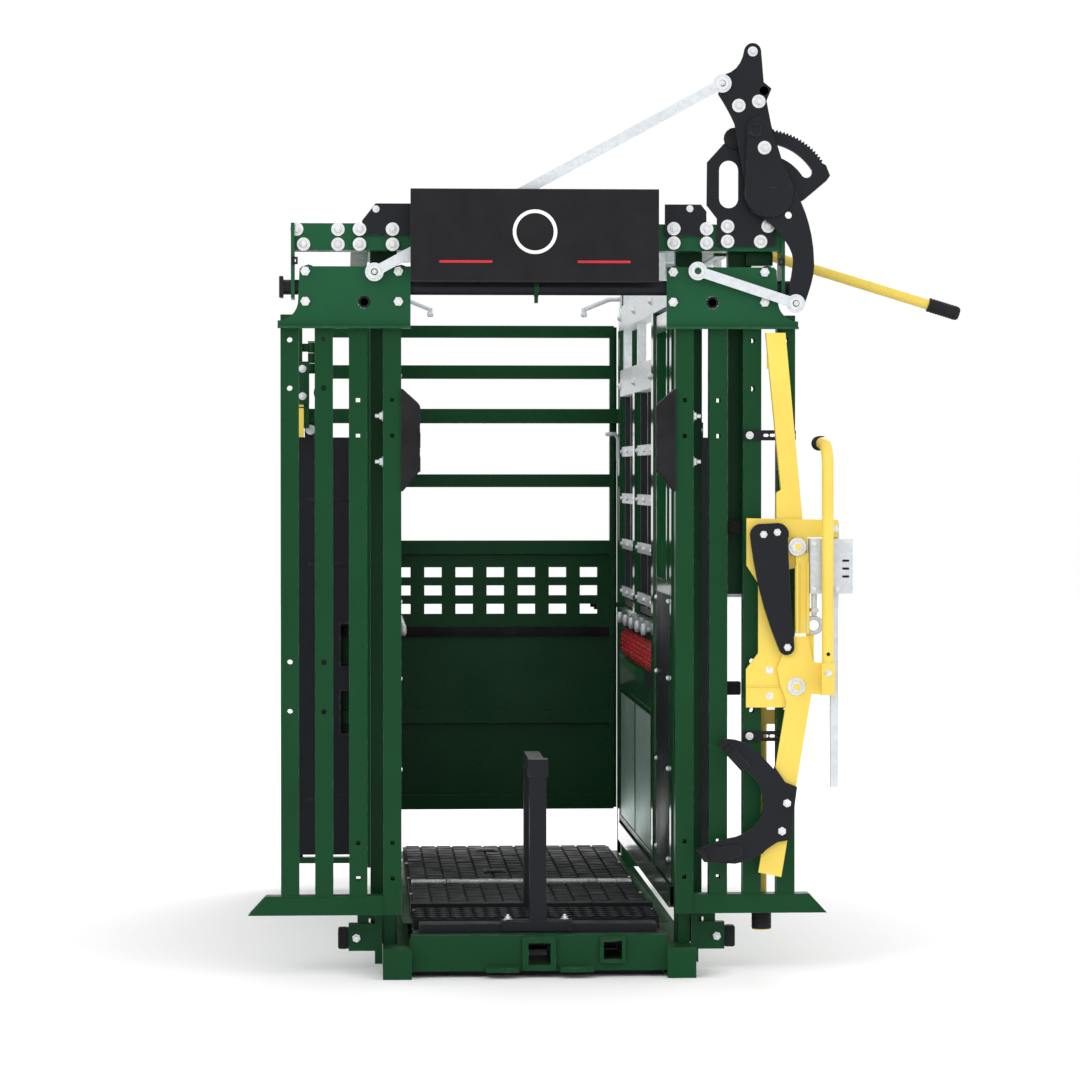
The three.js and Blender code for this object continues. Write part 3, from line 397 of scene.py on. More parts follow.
def add_pipe(bm, points, radius, segments=16, round_ends=0.0):
    """A tube along points with closed ends; radius is one number or one per point."""
    path = [Vector(p) for p in points]
    radii = [radius] * len(path) if isinstance(radius, (int, float)) else list(radius)
    if round_ends:
        first = (path[0] - path[1]).normalized() * round_ends
        last = (path[-1] - path[-2]).normalized() * round_ends
        path = [path[0] + first] + path + [path[-1] + last]
        radii = [radii[0] * 0.72] + radii + [radii[-1] * 0.72]
    tangents = []
    for i in range(len(path)):
        before = path[max(i - 1, 0)]
        after = path[min(i + 1, len(path) - 1)]
        tangents.append((after - before).normalized())
    normal = tangents[0].orthogonal().normalized()
    rings = []
    for i, (place, tangent) in enumerate(zip(path, tangents)):
        normal = (normal - tangent * normal.dot(tangent)).normalized()
        side = tangent.cross(normal)
        rings.append([
            bm.verts.new(place + radii[i] * (normal * math.cos(a) + side * math.sin(a)))
            for a in (2 * math.pi * k / segments for k in range(segments))
        ])
    for low, high in zip(rings, rings[1:]):
        for k in range(segments):
            j = (k + 1) % segments
            bm.faces.new((low[k], low[j], high[j], high[k]))
    bm.faces.new(list(reversed(rings[0])))
    bm.faces.new(rings[-1])


def add_hinge(bm, middle, axis, radius, length):
    """Three barrels in a row along an axis."""
    for k in (-1, 0, 1):
        place = Vector(middle) + Vector(axis) * (k * (length + 0.0015) - length / 2)
        add_lathe(bm, barrel(radius, length), place, axis, 18)


def add_box(bm, first, second, chamfer=0.0):
    """A block between two opposite corners, with chamfered edges."""
    made = bmesh.ops.create_cube(bm, size=1.0)["verts"]
    spans = [sorted(pair) for pair in zip(first, second)]
    size = [high - low for low, high in spans]
    middle = [(high + low) / 2 for low, high in spans]
    for vert in made:
        vert.co = Vector([m + c * s for m, c, s in zip(middle, vert.co, size)])
    if chamfer:
        edges = list(dict.fromkeys(e for v in made for e in v.link_edges))
        bmesh.ops.bevel(bm, geom=edges, offset=chamfer, segments=2, profile=0.6, affect="EDGES")


def arc(cx, cz, radius, start, end, steps):
    """Points on a circle in the x, z plane, with angles in degrees from +x towards +z."""
    return [
        (cx + radius * math.cos(math.radians(a)), cz + radius * math.sin(math.radians(a)))
        for a in (start + (end - start) * i / steps for i in range(steps + 1))
    ]


def node_box(name):
    """Lowest and highest corners of a CAD node."""
    low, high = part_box(name)
    return Vector(low), Vector(high)


def piece(name, bm, body, look, angle=35, bevel=0.0):
    """Turns the mesh into an object with a look that rides on a body; edges over angle stay sharp."""
    material, slot = LOOKS[look]
    bmesh.ops.recalc_face_normals(bm, faces=bm.faces)
    mesh = bpy.data.meshes.new(name)
    bm.to_mesh(mesh)
    bm.free()
    mesh.shade_smooth()
    mesh.set_sharp_from_angle(angle=math.radians(angle))
    mesh.materials.append(material)
    obj = bpy.data.objects.new(name, mesh)
    scene.collection.objects.link(obj)
    if bevel:
        soften = obj.modifiers.new("soft_edges", "BEVEL")
        soften.width = bevel
        soften.segments = 2
        soften.limit_method = "ANGLE"
        soften.angle_limit = math.radians(38)
        soften.harden_normals = True
    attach(obj, body)
    return obj


# ---- plates with holes

def add_profile(bm, loops, front, back, edge=0.0008):
    """A plate facing the front: the first loop of (x, z) points is its outline, the rest are holes."""
    curve = bpy.data.curves.new("profile", "CURVE")
    curve.dimensions = "2D"
    curve.fill_mode = "BOTH"
    curve.extrude = (back - front) / 2 - edge
    curve.bevel_depth = edge
    curve.bevel_resolution = 1
    curve.offset = -edge
    for loop in loops:
        spline = curve.splines.new("POLY")
        spline.points.add(len(loop) - 1)
        for point, (x, z) in zip(spline.points, loop):
            point.co = (x, z, 0, 1)
        spline.use_cyclic_u = True
    holder = bpy.data.objects.new("profile", curve)
    mesh = bpy.data.meshes.new_from_object(holder)
    turn = Matrix.Translation((0, (front + back) / 2, 0)) @ Matrix.Rotation(math.pi / 2, 4, "X")
    mesh.transform(turn)
    bm.from_mesh(mesh)
    bpy.data.objects.remove(holder)
    bpy.data.curves.remove(curve)
    bpy.data.meshes.remove(mesh)


def slot_loop(cx, cz, half, radius):
    """A level round-ended slot."""
    return arc(cx + half, cz, radius, -90, 90, 8) + arc(cx - half, cz, radius, 90, 270, 8)


def rounded(x0, x1, z0, z1, radius):
    """A rectangle with round corners."""
    left, right, low, high = x0 + radius, x1 - radius, z0 + radius, z1 - radius
    corners = ((right, low, -90), (right, high, 0), (left, high, 90), (left, low, 180))
    return [point for x, z, start in corners for point in arc(x, z, radius, start, start + 90, 5)]


# ---- fasteners

FRONT = (0, -1, 0)
BACK = (0, 1, 0)
UP = (0, 0, 1)
FOOT_TOP = 0.1503  # top of the brisket bar's foot plate
SLAT_HEIGHTS = (1.015, 1.173, 1.325, 1.480)
SHAFT_X, SHAFT_Z = 0.579, 2.060  # the squeeze shaft's axis
HINGE_REACH = 0.434  # from the chute's middle to the hinge pins of its walls
UPRIGHT_START, UPRIGHT_PITCH = 409.4, 95.2  # of each leaf, in millimetres


def add_bolt(bm, place, direction, across, washer=0.0, stub=0.0, turn=0.0):
    """Hex head on a washer, with the end of the thread showing where stub is given."""
    height = 0.0
    if washer:
        height = 0.0028
        add_lathe(bm, [(0, 0), (washer, 0), (washer, height * 0.7), (washer - 0.0008, height), (0, height)],
                  place, direction, 28)
    corner = across / math.sqrt(3)
    top = height + across * 0.4
    add_lathe(bm, [(0, height), (corner, height), (corner, top - 0.0015), (corner * 0.86, top), (0, top)],
              place, direction, 6, turn)
    if stub:
        r = across * 0.3
        low, high = top - 0.001, top + stub
        thread = [(0, low), (r, low), (r, high - 0.001), (r * 0.8, high), (0, high)]
        add_lathe(bm, thread, place, direction, 14)


def bolt_set(name, body, places, direction, across, washer=0.0, stub=0.0, draw=None, look="bolt_steel"):
    """Bolts at points in metres, all facing one way; draw turns each head a little."""
    bm = bmesh.new()
    for place in places:
        add_bolt(bm, place, direction, across, washer, stub, draw.uniform(0, 1) if draw else 0.0)
    piece(name, bm, body, look, angle=28)


def bolts(name, body, places, y, across=0.019, washer=0.019, stub=0.003):
    """A set of bolts on one body: places are (x, z) in millimetres on a front face at y."""
    draw = random.Random(SEED + len(name))
    bm = bmesh.new()
    for x, z in places:
        add_bolt(bm, (x * MM, y * MM, z * MM), FRONT, across, washer, stub, draw.uniform(0, 1.04))
    piece(name, bm, body, "bolt_steel", angle=28)


def add_weld(bm, start, end, radius, draw):
    """A rippled bead between two points."""
    start, end = Vector(start), Vector(end)
    count = max(4, int((end - start).length / (radius * 0.9)))
    points, radii = [], []
    for i in range(count + 1):
        points.append(start.lerp(end, i / count))
        radii.append(radius * (0.86 + 0.22 * (i % 2) + draw.uniform(-0.08, 0.08)))
    add_pipe(bm, points, radii, 6)


def welds(name, body, lines, radius=0.0032, look="green_paint"):
    draw = random.Random(SEED + len(lines))
    bm = bmesh.new()
    for start, end in lines:
        add_weld(bm, [c * MM for c in start], [c * MM for c in end], radius, draw)
    piece(name, bm, body, look, angle=60)


def top_fasteners():
    left_plate = [(-651, 1970), (-392, 1970), (-651, 1886), (-392, 1886)]
    right_plate = [(376, 1970), (633, 1970), (376, 1886), (633, 1886)]
    bolts("left_leaf_bolts", "left_leaf", left_plate, -33, across=0.024, washer=0)
    bolts("right_leaf_bolts", "right_leaf", right_plate, -33, across=0.024, washer=0)
    pairs = [(x, z) for x in (-500, -408) for z in (2088, 2046)]
    bolts("left_gusset_bolts", "root", pairs, -22)
    pairs = [(x, z) for x in (379, 471) for z in (2092, 2052)]
    bolts("right_gusset_bolts", "root", pairs, -22)
    bolts("gusset_small_bolts", "root", [(-454, 2144), (424, 2148)], -22, across=0.010, washer=0.010,
          stub=0.001)
    bolts("left_header_bolts", "root", [(-675, 2088), (-560, 2088), (-656, 2046), (-560, 2046)], -12)
    bolts("lever_mount_bolts", "root", [(530, 2099), (530, 2057), (644, 2100), (623, 2057)], -22)
    bolts("lever_bolts", "head_lever", [(558, 2434), (614, 2446)], -52)
    bolts("lever_cover_bolt", "head_lever", [(629, 2316)], -64)
    bolts("lever_top_bolt", "head_lever", [(597, 2585)], -52, across=0.015, washer=0.014)


def link_pins():
    """Washer, nut and pin end over each eye of the two links; the short link's inner pin is painted."""
    ends = {
        "long_link": [(-459, 1967, True), (511, 2495, True)],
        "short_link": [(443, 1972, False), (718, 1882, True)],
    }
    for body, places in ends.items():
        bm = bmesh.new()
        for x, z, nut in places:
            place = (x * MM, -0.062, z * MM)
            add_lathe(bm, [(0.0095, 0), (0.0185, 0), (0.0185, 0.002), (0.0175, 0.003), (0.0095, 0.003)],
                      place, FRONT, 28)
            if nut:
                add_bolt(bm, (x * MM, -0.065, z * MM), FRONT, 0.014, 0, 0.002, 0.3)
        piece(f"{body}_pins", bm, body, "bolt_steel", angle=28)
    bm = bmesh.new()
    add_lathe(bm, disc(0.0088, 0.0042, 0.0013, 0.0012), (0.443, -0.0652, 1.972), FRONT, 24)
    piece("short_link_pin_end", bm, "short_link", "green_paint")


def lever_details():
    """Ringed boss and pressed marks on the lever's cover, a lug on its edge and the bumper beside it."""
    bm = bmesh.new()
    place = (0.603, -0.0638, 2.364)
    rim = [(0.0195, 0), (0.0195, 0.003), (0.0175, 0.0045), (0.0135, 0.0045), (0.0125, 0.002)]
    add_lathe(bm, [(0, 0), *rim, (0, 0.002)], place, FRONT, 32)
    piece("lever_cover_boss", bm, "head_lever", "black_paint")
    bm = bmesh.new()
    for x, z in ((0.622, 2.235), (0.655, 2.205), (0.632, 2.166)):
        add_profile(bm, [slot_loop(x, z, 0.006, 0.0022)], -0.0652, -0.0638, 0.0006)
    groove = [(0.0675, 0), (0.0690, 0), (0.0690, 0.0012), (0.0675, 0.0012)]
    add_lathe(bm, groove, (0.642, -0.0500, 2.190), FRONT, 48)
    piece("lever_cover_marks", bm, "head_lever", "black_paint")
    bm = bmesh.new()
    add_lathe(bm, disc(0.0145, 0.008, 0.002, 0.0005), (0.629, -0.0440, 2.476), FRONT, 28)
    piece("lever_edge_lug", bm, "head_lever", "black_paint")
    bm = bmesh.new()
    add_lathe(bm, [(0, 0), (0.0285, 0), (0.0300, 0.0015), (0.0300, 0.006), (0.0285, 0.0075), (0, 0.0075)],
              (0.550, -0.0222, 2.345), FRONT, 40)
    piece("lever_bumper", bm, "root", "rubber")


def leaf_plate_plugs():
    """Dark plugs behind the large hole of each leaf plate."""
    for side, name in ((-1, "left"), (1, "right")):
        bm = bmesh.new()
        add_lathe(bm, [(0, 0), (0.0172, 0), (0.0172, 0.002), (0.013, 0.002), (0.011, 0), (0, 0)],
                  (side * 0.487, -0.0280, 1.885), FRONT, 28)
        piece(f"{name}_leaf_plate_plug", bm, f"{name}_leaf", "rubber")


top_fasteners()
link_pins()
lever_details()
leaf_plate_plugs()


# ---- head-gate leaves

def tie_straps():
    """Slotted flat straps across the two outer uprights of the right leaf."""
    bm = bmesh.new()
    for z in (1.514, 0.670):
        slots = [slot_loop(x, z, 0.0035, 0.0042) for x in (0.638, 0.656, 0.674)]
        add_profile(bm, [rounded(0.575, 0.722, z - 0.0145, z + 0.0145, 0.004), *slots], -0.0318, -0.0256)
    piece("right_tie_straps", bm, "right_leaf", "black_paint")
    ends = [(x, z) for x in (592, 709) for z in (1514, 670)]
    bolts("right_tie_strap_bolts", "right_leaf", ends, -31.8, across=0.012, washer=0.011, stub=0.002)


def neck_pad(side, name):
    """Moulded pad with ramped ends and faint ribs, three raised blocks on it and the nuts that hold it."""
    low, high = node_box(f"{name}_neck_pad")
    inner = high.x if side < 0 else low.x
    outer = low.x if side < 0 else high.x
    z0, z1 = low.z, high.z
    bm = bmesh.new()
    count = 30
    rings = []
    for i in range(count + 1):
        t = i / count
        z = z0 + (z1 - z0) * t
        ramp = min(1.0, (z - z0) / 0.058, (z1 - z) / 0.044)
        reach = 0.004 + (abs(inner - outer) - 0.004) * ramp
        rib = 0.0006 * math.cos(i * math.pi) if 0.2 < t < 0.8 else 0.0
        tip = outer + (inner - outer) / abs(inner - outer) * (reach + min(rib, 0.0))
        section = []
        for k in range(13):
            a = math.radians(-90 + 180 * k / 12)
            curve = math.copysign(abs(math.sin(a)) ** 0.3, math.sin(a))
            bulge = abs(math.cos(a)) ** 0.3
            section.append((outer + (tip - outer) * (0.10 + 0.90 * bulge), curve * (high.y - low.y) / 2, z))
        section.append((outer, (high.y - low.y) / 2, z))
        section.insert(0, (outer, -(high.y - low.y) / 2, z))
        rings.append([bm.verts.new(p) for p in section])
    for a, b in zip(rings, rings[1:]):
        for k in range(len(a)):
            j = (k + 1) % len(a)
            bm.faces.new((a[k], a[j], b[j], b[k]))
    bm.faces.new(list(reversed(rings[0])))
    bm.faces.new(rings[-1])
    pad = piece(f"{name}_moulded_pad", bm, f"{name}_leaf", "rubber", angle=50)
    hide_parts(f"{name}_neck_pad")
    edge = bmesh.new()
    for z in (z0 + 0.075, z0 + 0.143, z0 + 0.211):
        x = inner - side * 0.0005
        add_box(edge, (x, -0.020, z - 0.022), (x + side * 0.002, 0.020, z + 0.022), 0.001)
    piece(f"{name}_pad_blocks", edge, f"{name}_leaf", "rubber")
    nuts = [(side * 0.435, 0.0, z) for z in (1.440, 1.568)]
    bolt_set(f"{name}_pad_nuts", f"{name}_leaf", nuts, (side, 0, 0), 0.019, 0.015, 0.012)


def upright(side, i):
    """Middle of a leaf's upright in millimetres, counted from the opening outwards."""
    return side * (UPRIGHT_START + i * UPRIGHT_PITCH)


def leaf_trim(side, name):
    """Weld beads at the foot of the uprights and under the front plate."""
    lines = []
    for i in range(1, 4):
        x = upright(side, i)
        lines.append(((x - 24, -25.4, 226), (x + 24, -25.4, 226)))
    x = side * 435
    lines.append(((x, -25.4, 176), (x, -25.4, 224)))
    welds(f"{name}_leaf_welds", f"{name}_leaf", lines, 0.0026)
    lines = []
    for i in range(4):
        x = upright(side, i)
        lines.append(((x - 22, -26.5, 1810), (x + 22, -26.5, 1810)))
    welds(f"{name}_leaf_plate_welds", f"{name}_leaf", lines, 0.0026)


def track_fittings():
    """End plates of the round track, and the small ring with a tail at its middle."""
    bm = bmesh.new()
    for side in (-1, 1):
        x = side * 0.712
        add_box(bm, (x, -0.03, 1.897), (x + side * 0.012, 0.03, 1.957), 0.003)
    piece("track_end_plates", bm, "root", "black_paint")
    bm = bmesh.new()
    half = [(0.0262, -0.006), (0.0275, -0.003)]
    ring = [(0.0212, -0.006), *half, *((r, -h) for r, h in reversed(half)), (0.0212, 0.006)]
    add_lathe(bm, ring, (-0.006, 0, 1.927), (1, 0, 0), 32)
    piece("track_ring", bm, "root", "green_paint")
    bm = bmesh.new()
    add_box(bm, (-0.011, -0.014, 1.884), (-0.001, 0.014, 1.906), 0.002)
    piece("track_ring_tail", bm, "root", "green_paint")


tie_straps()
for leaf_side, leaf_name in ((-1, "left"), (1, "right")):
    neck_pad(leaf_side, leaf_name)
    leaf_trim(leaf_side, leaf_name)
track_fittings()


# ---- handles

def squeeze_grip():
    """Ribbed black grip pushed over the end of the yellow handle."""
    pivot = Vector((SHAFT_X, 0.2, SHAFT_Z))
    tilt = math.radians(-17)
    along = Vector((math.cos(tilt), 0, math.sin(tilt)))
    reach = 0.664
    profile = [(0.0158, 0), (0.0205, 0.001), (0.0205, 0.006)]
    for i in range(9):
        z = 0.010 + i * 0.008
        profile += [(0.0190, z), (0.0205, z + 0.0025), (0.0205, z + 0.0055)]
    profile += [(0.0195, 0.088), (0.015, 0.0935), (0, 0.0945)]
    bm = bmesh.new()
    add_lathe(bm, profile, pivot + along * (reach - 0.088), along, 28)
    piece("squeeze_grip", bm, "squeeze", "rubber", angle=40)
    bm = bmesh.new()
    add_lathe(bm, [(0.0152, 0), (0.030, 0), (0.032, 0.004), (0.030, 0.008), (0.0152, 0.008)],
              pivot + along * 0.036, along, 28)
    add_lathe(bm, disc(0.022, 0.006, 0.002, 0.002), (SHAFT_X, 0.1735, SHAFT_Z), FRONT, 28)
    piece("squeeze_hub_collar", bm, "squeeze", "yellow_paint")
    bolts("squeeze_hub_bolt", "squeeze", [(579, 2060)], 167, across=0.024, washer=0.017, stub=0.003)


def sweep_handle():
    """The long yellow tube with its bent black-gripped top, the bolt of its socket, and a dark disc painted
    as the shade inside its socket's hole.
    """
    low = node_box("sweep_handle")[0]
    x, y = 0.799, -0.133
    points = [(x, y, z) for z in (low.z + 0.001, 1.10, 1.38, 1.425)]
    bend = 0.062
    for i in range(1, 10):
        a = math.pi / 2 * i / 9
        points.append((x - 0.003 * i / 9, y + bend * (1 - math.cos(a)), 1.430 + bend * math.sin(a)))
    end_y = y + bend + 0.055
    points += [(x - 0.004, end_y, 1.492), (x - 0.005, end_y + 0.03, 1.492)]
    bm = bmesh.new()
    add_pipe(bm, points, 0.0165, 24)
    tube = piece("sweep_handle_tube", bm, "head_sweep", "yellow_paint", angle=50)
    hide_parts("sweep_handle")
    bm = bmesh.new()
    start = Vector((x - 0.0045, end_y - 0.012, 1.492))
    profile = [(0.0168, 0), (0.0205, 0.001)]
    for i in range(7):
        z = 0.006 + i * 0.009
        profile += [(0.0192, z), (0.0207, z + 0.003), (0.0207, z + 0.006)]
    profile += [(0.019, 0.070), (0.014, 0.0755), (0, 0.0765)]
    add_lathe(bm, profile, start, BACK, 28)
    piece("sweep_handle_grip", bm, "head_sweep", "rubber", angle=40)
    bolt_set("sweep_socket_bolt", "head_sweep", [(0.799, -0.151, 0.852)], FRONT, 0.014, 0.010, 0.002)
    # A flat dark disc: painted shade where the socket has a hole.
    bm = bmesh.new()
    add_lathe(bm, [(0, 0), (0.0052, 0), (0.0052, 0.0008), (0, 0.0008)], (0.799, -0.1494, 0.905), FRONT, 20)
    piece("sweep_socket_hole_shade", bm, "head_sweep", "rubber")


squeeze_grip()
sweep_handle()


# ---- head sweep

def pin_stack(bm, x, y, z, washer=0.0255):
    """A wide washer and a thick hex nut."""
    add_lathe(bm, disc(washer, 0.003, 0.001, 0.001), (x, y, z), FRONT, 32)
    add_bolt(bm, (x, y - 0.003, z), FRONT, 0.028, 0.019, 0.0)


def sweep_fittings():
    """Pivot hardware and rivets of the head sweep."""
    bm = bmesh.new()
    pin_stack(bm, 0.7195, -0.0875, 1.202)
    piece("sweep_upper_washer", bm, "right_leaf", "bolt_steel", angle=28)
    bm = bmesh.new()
    pin_stack(bm, 0.718, -0.0842, 0.812)
    piece("sweep_lower_washer", bm, "head_sweep", "bolt_steel", angle=28)
    bm = bmesh.new()
    for x, y, z in ((0.7195, -0.1005, 1.202), (0.718, -0.0985, 0.812)):
        add_lathe(bm, disc(0.0095, 0.0065, 0.0015, 0.0015), (x, y, z), FRONT, 24)
    piece("sweep_pin_ends", bm, "right_leaf", "yellow_paint")
    bm = bmesh.new()
    head = [(0, 0), (0.0105, 0), (0.0105, 0.0004), (0.0085, 0.0011), (0.0045, 0.0015), (0, 0.0016)]
    for z in (0.857, 0.785):
        add_lathe(bm, head, (0.6435, -0.0720, z), FRONT, 28)
    piece("sweep_plate_rivets", bm, "right_leaf", "bolt_steel", angle=50)
    bolts("side_link_bolts", "right_leaf", [(624, 1237), (662, 1243), (691, 922)], -96.3,
          across=0.019, washer=0.0, stub=0.002)
    bolts("jaw_bolts", "head_sweep", [(690, 487), (676, 409)], -96, across=0.021, washer=0.0, stub=0.004)
    lines = [((579, -72.5, 812), (689, -72.5, 812)), ((690, -72.5, 905), (738, -72.5, 868)),
             ((716, -85, 962), (716, -85, 1150)), ((752, -85, 962), (752, -85, 1150))]
    welds("sweep_plate_welds", "right_leaf", lines, 0.003, look="yellow_paint")


def ratchet_details():
    """Folded lid, three slots, side tab and screws on the ratchet's housing; rod and eye below it."""
    front = node_box("ratchet_box")[0].y
    bm = bmesh.new()
    lid = [(0.756, 1.076), (0.870, 1.076), (0.870, 1.196), (0.842, 1.222), (0.756, 1.222)]
    slots = [slot_loop(0.852, z, 0.007, 0.0032) for z in (1.120, 1.142, 1.164)]
    add_profile(bm, [lid, *slots], front - 0.0018, front + 0.0002, 0.0005)
    piece("ratchet_lid", bm, "right_leaf", "zinc_dark")
    bm = bmesh.new()
    for z in (1.120, 1.142, 1.164):
        add_profile(bm, [slot_loop(0.852, z, 0.0068, 0.003)], front - 0.0009, front - 0.0001, 0.0001)
    piece("ratchet_slot_shadow", bm, "right_leaf", "rubber")
    bolts("ratchet_screws", "right_leaf", [(764, 1212), (764, 1086), (826, 1086)], front / MM - 1.8,
          across=0.008, washer=0.007, stub=0)
    bolts("ratchet_tab_bolt", "right_leaf", [(827, 1252)], -72, across=0.013, washer=0.011, stub=0.001)
    bm = bmesh.new()
    y = -0.079
    profile = [(0, 0)]
    for i in range(24):
        profile += [(0.0078, i * 0.0026), (0.0064, i * 0.0026 + 0.0013)]
    profile += [(0, 24 * 0.0026)]
    add_lathe(bm, profile, (0.768, y, 1.009), UP, 16)
    add_bolt(bm, (0.768, y, 1.020), UP, 0.022, 0.016, 0)
    piece("tension_rod", bm, "right_leaf", "bolt_steel", angle=28)
    bm = bmesh.new()
    ring = [(0.767 + 0.021 * math.cos(a), y, 0.983 + 0.021 * math.sin(a)) for a in
            (2 * math.pi * i / 28 for i in range(29))]
    add_pipe(bm, ring, 0.0065, 12)
    piece("tension_eye", bm, "right_leaf", "zinc_dark", angle=60)
    bm = bmesh.new()
    add_profile(bm, [rounded(0.746, 0.768, 0.874, 0.968, 0.006)], -0.0768, -0.0728)
    piece("tension_strap", bm, "right_leaf", "yellow_paint")


def drop_tube_foot():
    """Ribbed rubber foot with a rounded lower edge."""
    bm = bmesh.new()
    profile = [(0, 0), (0.024, 0), (0.0276, 0.004)]
    for i in range(4):
        z = 0.008 + i * 0.010
        profile += [(0.0280, z), (0.0280, z + 0.006), (0.0272, z + 0.008)]
    profile += [(0.0278, 0.049), (0.0270, 0.0505), (0.0155, 0.0512)]
    add_lathe(bm, profile, (0.634, 0.041, 0.1185), UP, 32)
    piece("drop_tube_rubber", bm, "right_leaf", "rubber", angle=40)


def jaw_pads():
    """Stepped rubber faces on the pads over both tips of the jaw."""
    low = node_box("jaw")[0]
    bm = bmesh.new()
    steps = [
        [(0.497, 0.652), (0.515, 0.664), (0.528, 0.657), (0.506, 0.640)],
        [(0.510, 0.637), (0.532, 0.655), (0.543, 0.646), (0.526, 0.620)],
        [(0.440, 0.354), (0.459, 0.328), (0.474, 0.327), (0.456, 0.362)],
        [(0.460, 0.364), (0.478, 0.327), (0.493, 0.327), (0.480, 0.368)],
    ]
    for loop in steps:
        add_profile(bm, [loop], low.y - 0.004, low.y + 0.001, 0.0012)
    piece("jaw_tip_steps", bm, "head_sweep", "rubber")


sweep_fittings()
ratchet_details()
drop_tube_foot()
jaw_pads()


# ---- base and floor

def front_mat_tread():
    """Herringbone of slanted blocks on the front mat."""
    low, high = node_box("front_mat")
    bm = bmesh.new()
    rows, columns = 5, 20
    for row in range(rows):
        for column in range(columns):
            x = low.x + (column + 0.5) * (high.x - low.x) / columns
            y = low.y + (row + 0.5) * (high.y - low.y) / rows
            made = bmesh.ops.create_cube(bm, size=1.0)["verts"]
            lean = 0.55 if column % 2 else -0.55
            place = Matrix.Translation((x, y, high.z + 0.0022)) @ Matrix.Rotation(lean, 4, "Z")
            place = place @ Matrix.Diagonal((0.027, 0.037, 0.0056, 1))
            bmesh.ops.transform(bm, matrix=place, verts=made)
    piece("front_mat_tread", bm, "root", "mat_rubber", bevel=0.0015)


def rear_mat_tread():
    """Long strips with narrow grooves, cut across at staggered places."""
    low, high = node_box("rear_mat")
    bm = bmesh.new()
    draw = random.Random(SEED + 21)
    strips = 13
    wide = (high.x - low.x - 0.012) / strips
    for i in range(strips):
        x = low.x + 0.006 + (i + 0.5) * wide
        y = low.y + 0.006
        first = 0.045 if i % 2 else 0.082
        while y < high.y - 0.02:
            long = min(first, high.y - 0.006 - y)
            first = 0.082
            crown = 0.0050 + draw.uniform(-0.0005, 0.0005)
            add_box(bm, (x - wide / 2 + 0.0035, y + 0.003, high.z - 0.0005),
                    (x + wide / 2 - 0.0035, y + long - 0.003, high.z + crown), 0.0013)
            y += long
    piece("rear_mat_tread", bm, "root", "mat_rubber")
    bm = bmesh.new()
    for y in (1.28, 1.95):
        add_box(bm, (-0.105, y, high.z + 0.0035), (-0.035, y + 0.105, high.z + 0.0070), 0.001)
        add_box(bm, (-0.096, y + 0.020, high.z + 0.0066), (-0.044, y + 0.085, high.z + 0.0082), 0.0008)
    piece("rear_mat_hand_slots", bm, "root", "black_poly")


def floor_fittings():
    """Bolts, welds and rubbers of the base, strips along the floor's edges and over the mats' joint."""
    edges = [(side * 0.3435, 0.30 + i * 0.44, 0.145) for side in (-1, 1) for i in range(5)]
    bolt_set("floor_edge_bolts", "root", edges, UP, 0.009, draw=random.Random(SEED + 5), look="zinc_dark")
    foot = [(x, 0.034, FOOT_TOP) for x in (-0.084, 0.076)]
    bolt_set("brisket_bolts", "root", foot, UP, 0.016, 0.013, 0.006)
    bolts("bumper_bolts", "root", [(-510, 97), (510, 97)], 70, across=0.022, washer=0.0, stub=0.004)
    bm = bmesh.new()
    for side in (-1, 1):
        add_box(bm, (side * 0.533, 0.062, 0.066), (side * 0.562, 0.098, 0.127), 0.007)
    piece("bumper_rubbers", bm, "root", "rubber")
    bm = bmesh.new()
    for x0, x1 in ((-0.338, -0.232), (-0.230, 0.020), (0.022, 0.232), (0.234, 0.338)):
        add_box(bm, (x0, 0.998, 0.146), (x1, 1.030, 0.1585), 0.003)
    piece("floor_joint_strips", bm, "root", "bolt_steel")
    bm = bmesh.new()
    for side in (-1, 1):
        add_box(bm, (side * 0.3420, 0.135, 0.1275), (side * 0.3775, 2.165, 0.1305), 0.0012)
    piece("floor_edge_strips", bm, "root", "green_paint")
    lines = []
    for x, half in ((0, 46), (205, 35)):
        z = 66 if x == 0 else 76
        for sx in (-1, 1):
            lines.append(((x + sx * half, -60.5, z - half + 4), (x + sx * half, -60.5, z + half - 4)))
        lines.append(((x - half + 4, -60.5, z + half), (x + half - 4, -60.5, z + half)))
    for side in (-1, 1):
        lines.append(((side * 358.5, -60, 22), (side * 358.5, -60, 114)))
        lines.append(((side * 434, 81, 187), (side * 505, 81, 187)))
    welds("base_welds", "root", lines, 0.0034)


def brisket_foot():
    """The bent foot plate of the brisket bar and its weld beads."""
    bm = bmesh.new()
    add_profile(bm, [rounded(-0.104, 0.096, 0.1215, FOOT_TOP, 0.006)], -0.0042, 0.0012, 0.001)
    add_box(bm, (-0.104, -0.0040, FOOT_TOP - 0.005), (0.096, 0.058, FOOT_TOP - 0.0002), 0.0016)
    piece("brisket_foot_plate", bm, "root", "black_paint")
    top = FOOT_TOP / MM + 0.5
    lines = [((-90, 12, top), (-26, 12, top)), ((26, 12, top), (90, 12, top)),
             ((-24, 7.5, top), (24, 7.5, top)), ((-24, 22, 556), (24, 22, 556))]
    welds("brisket_welds", "root", lines, 0.003, look="black_paint")


front_mat_tread()
rear_mat_tread()
floor_fittings()
brisket_foot()


# ---- sign

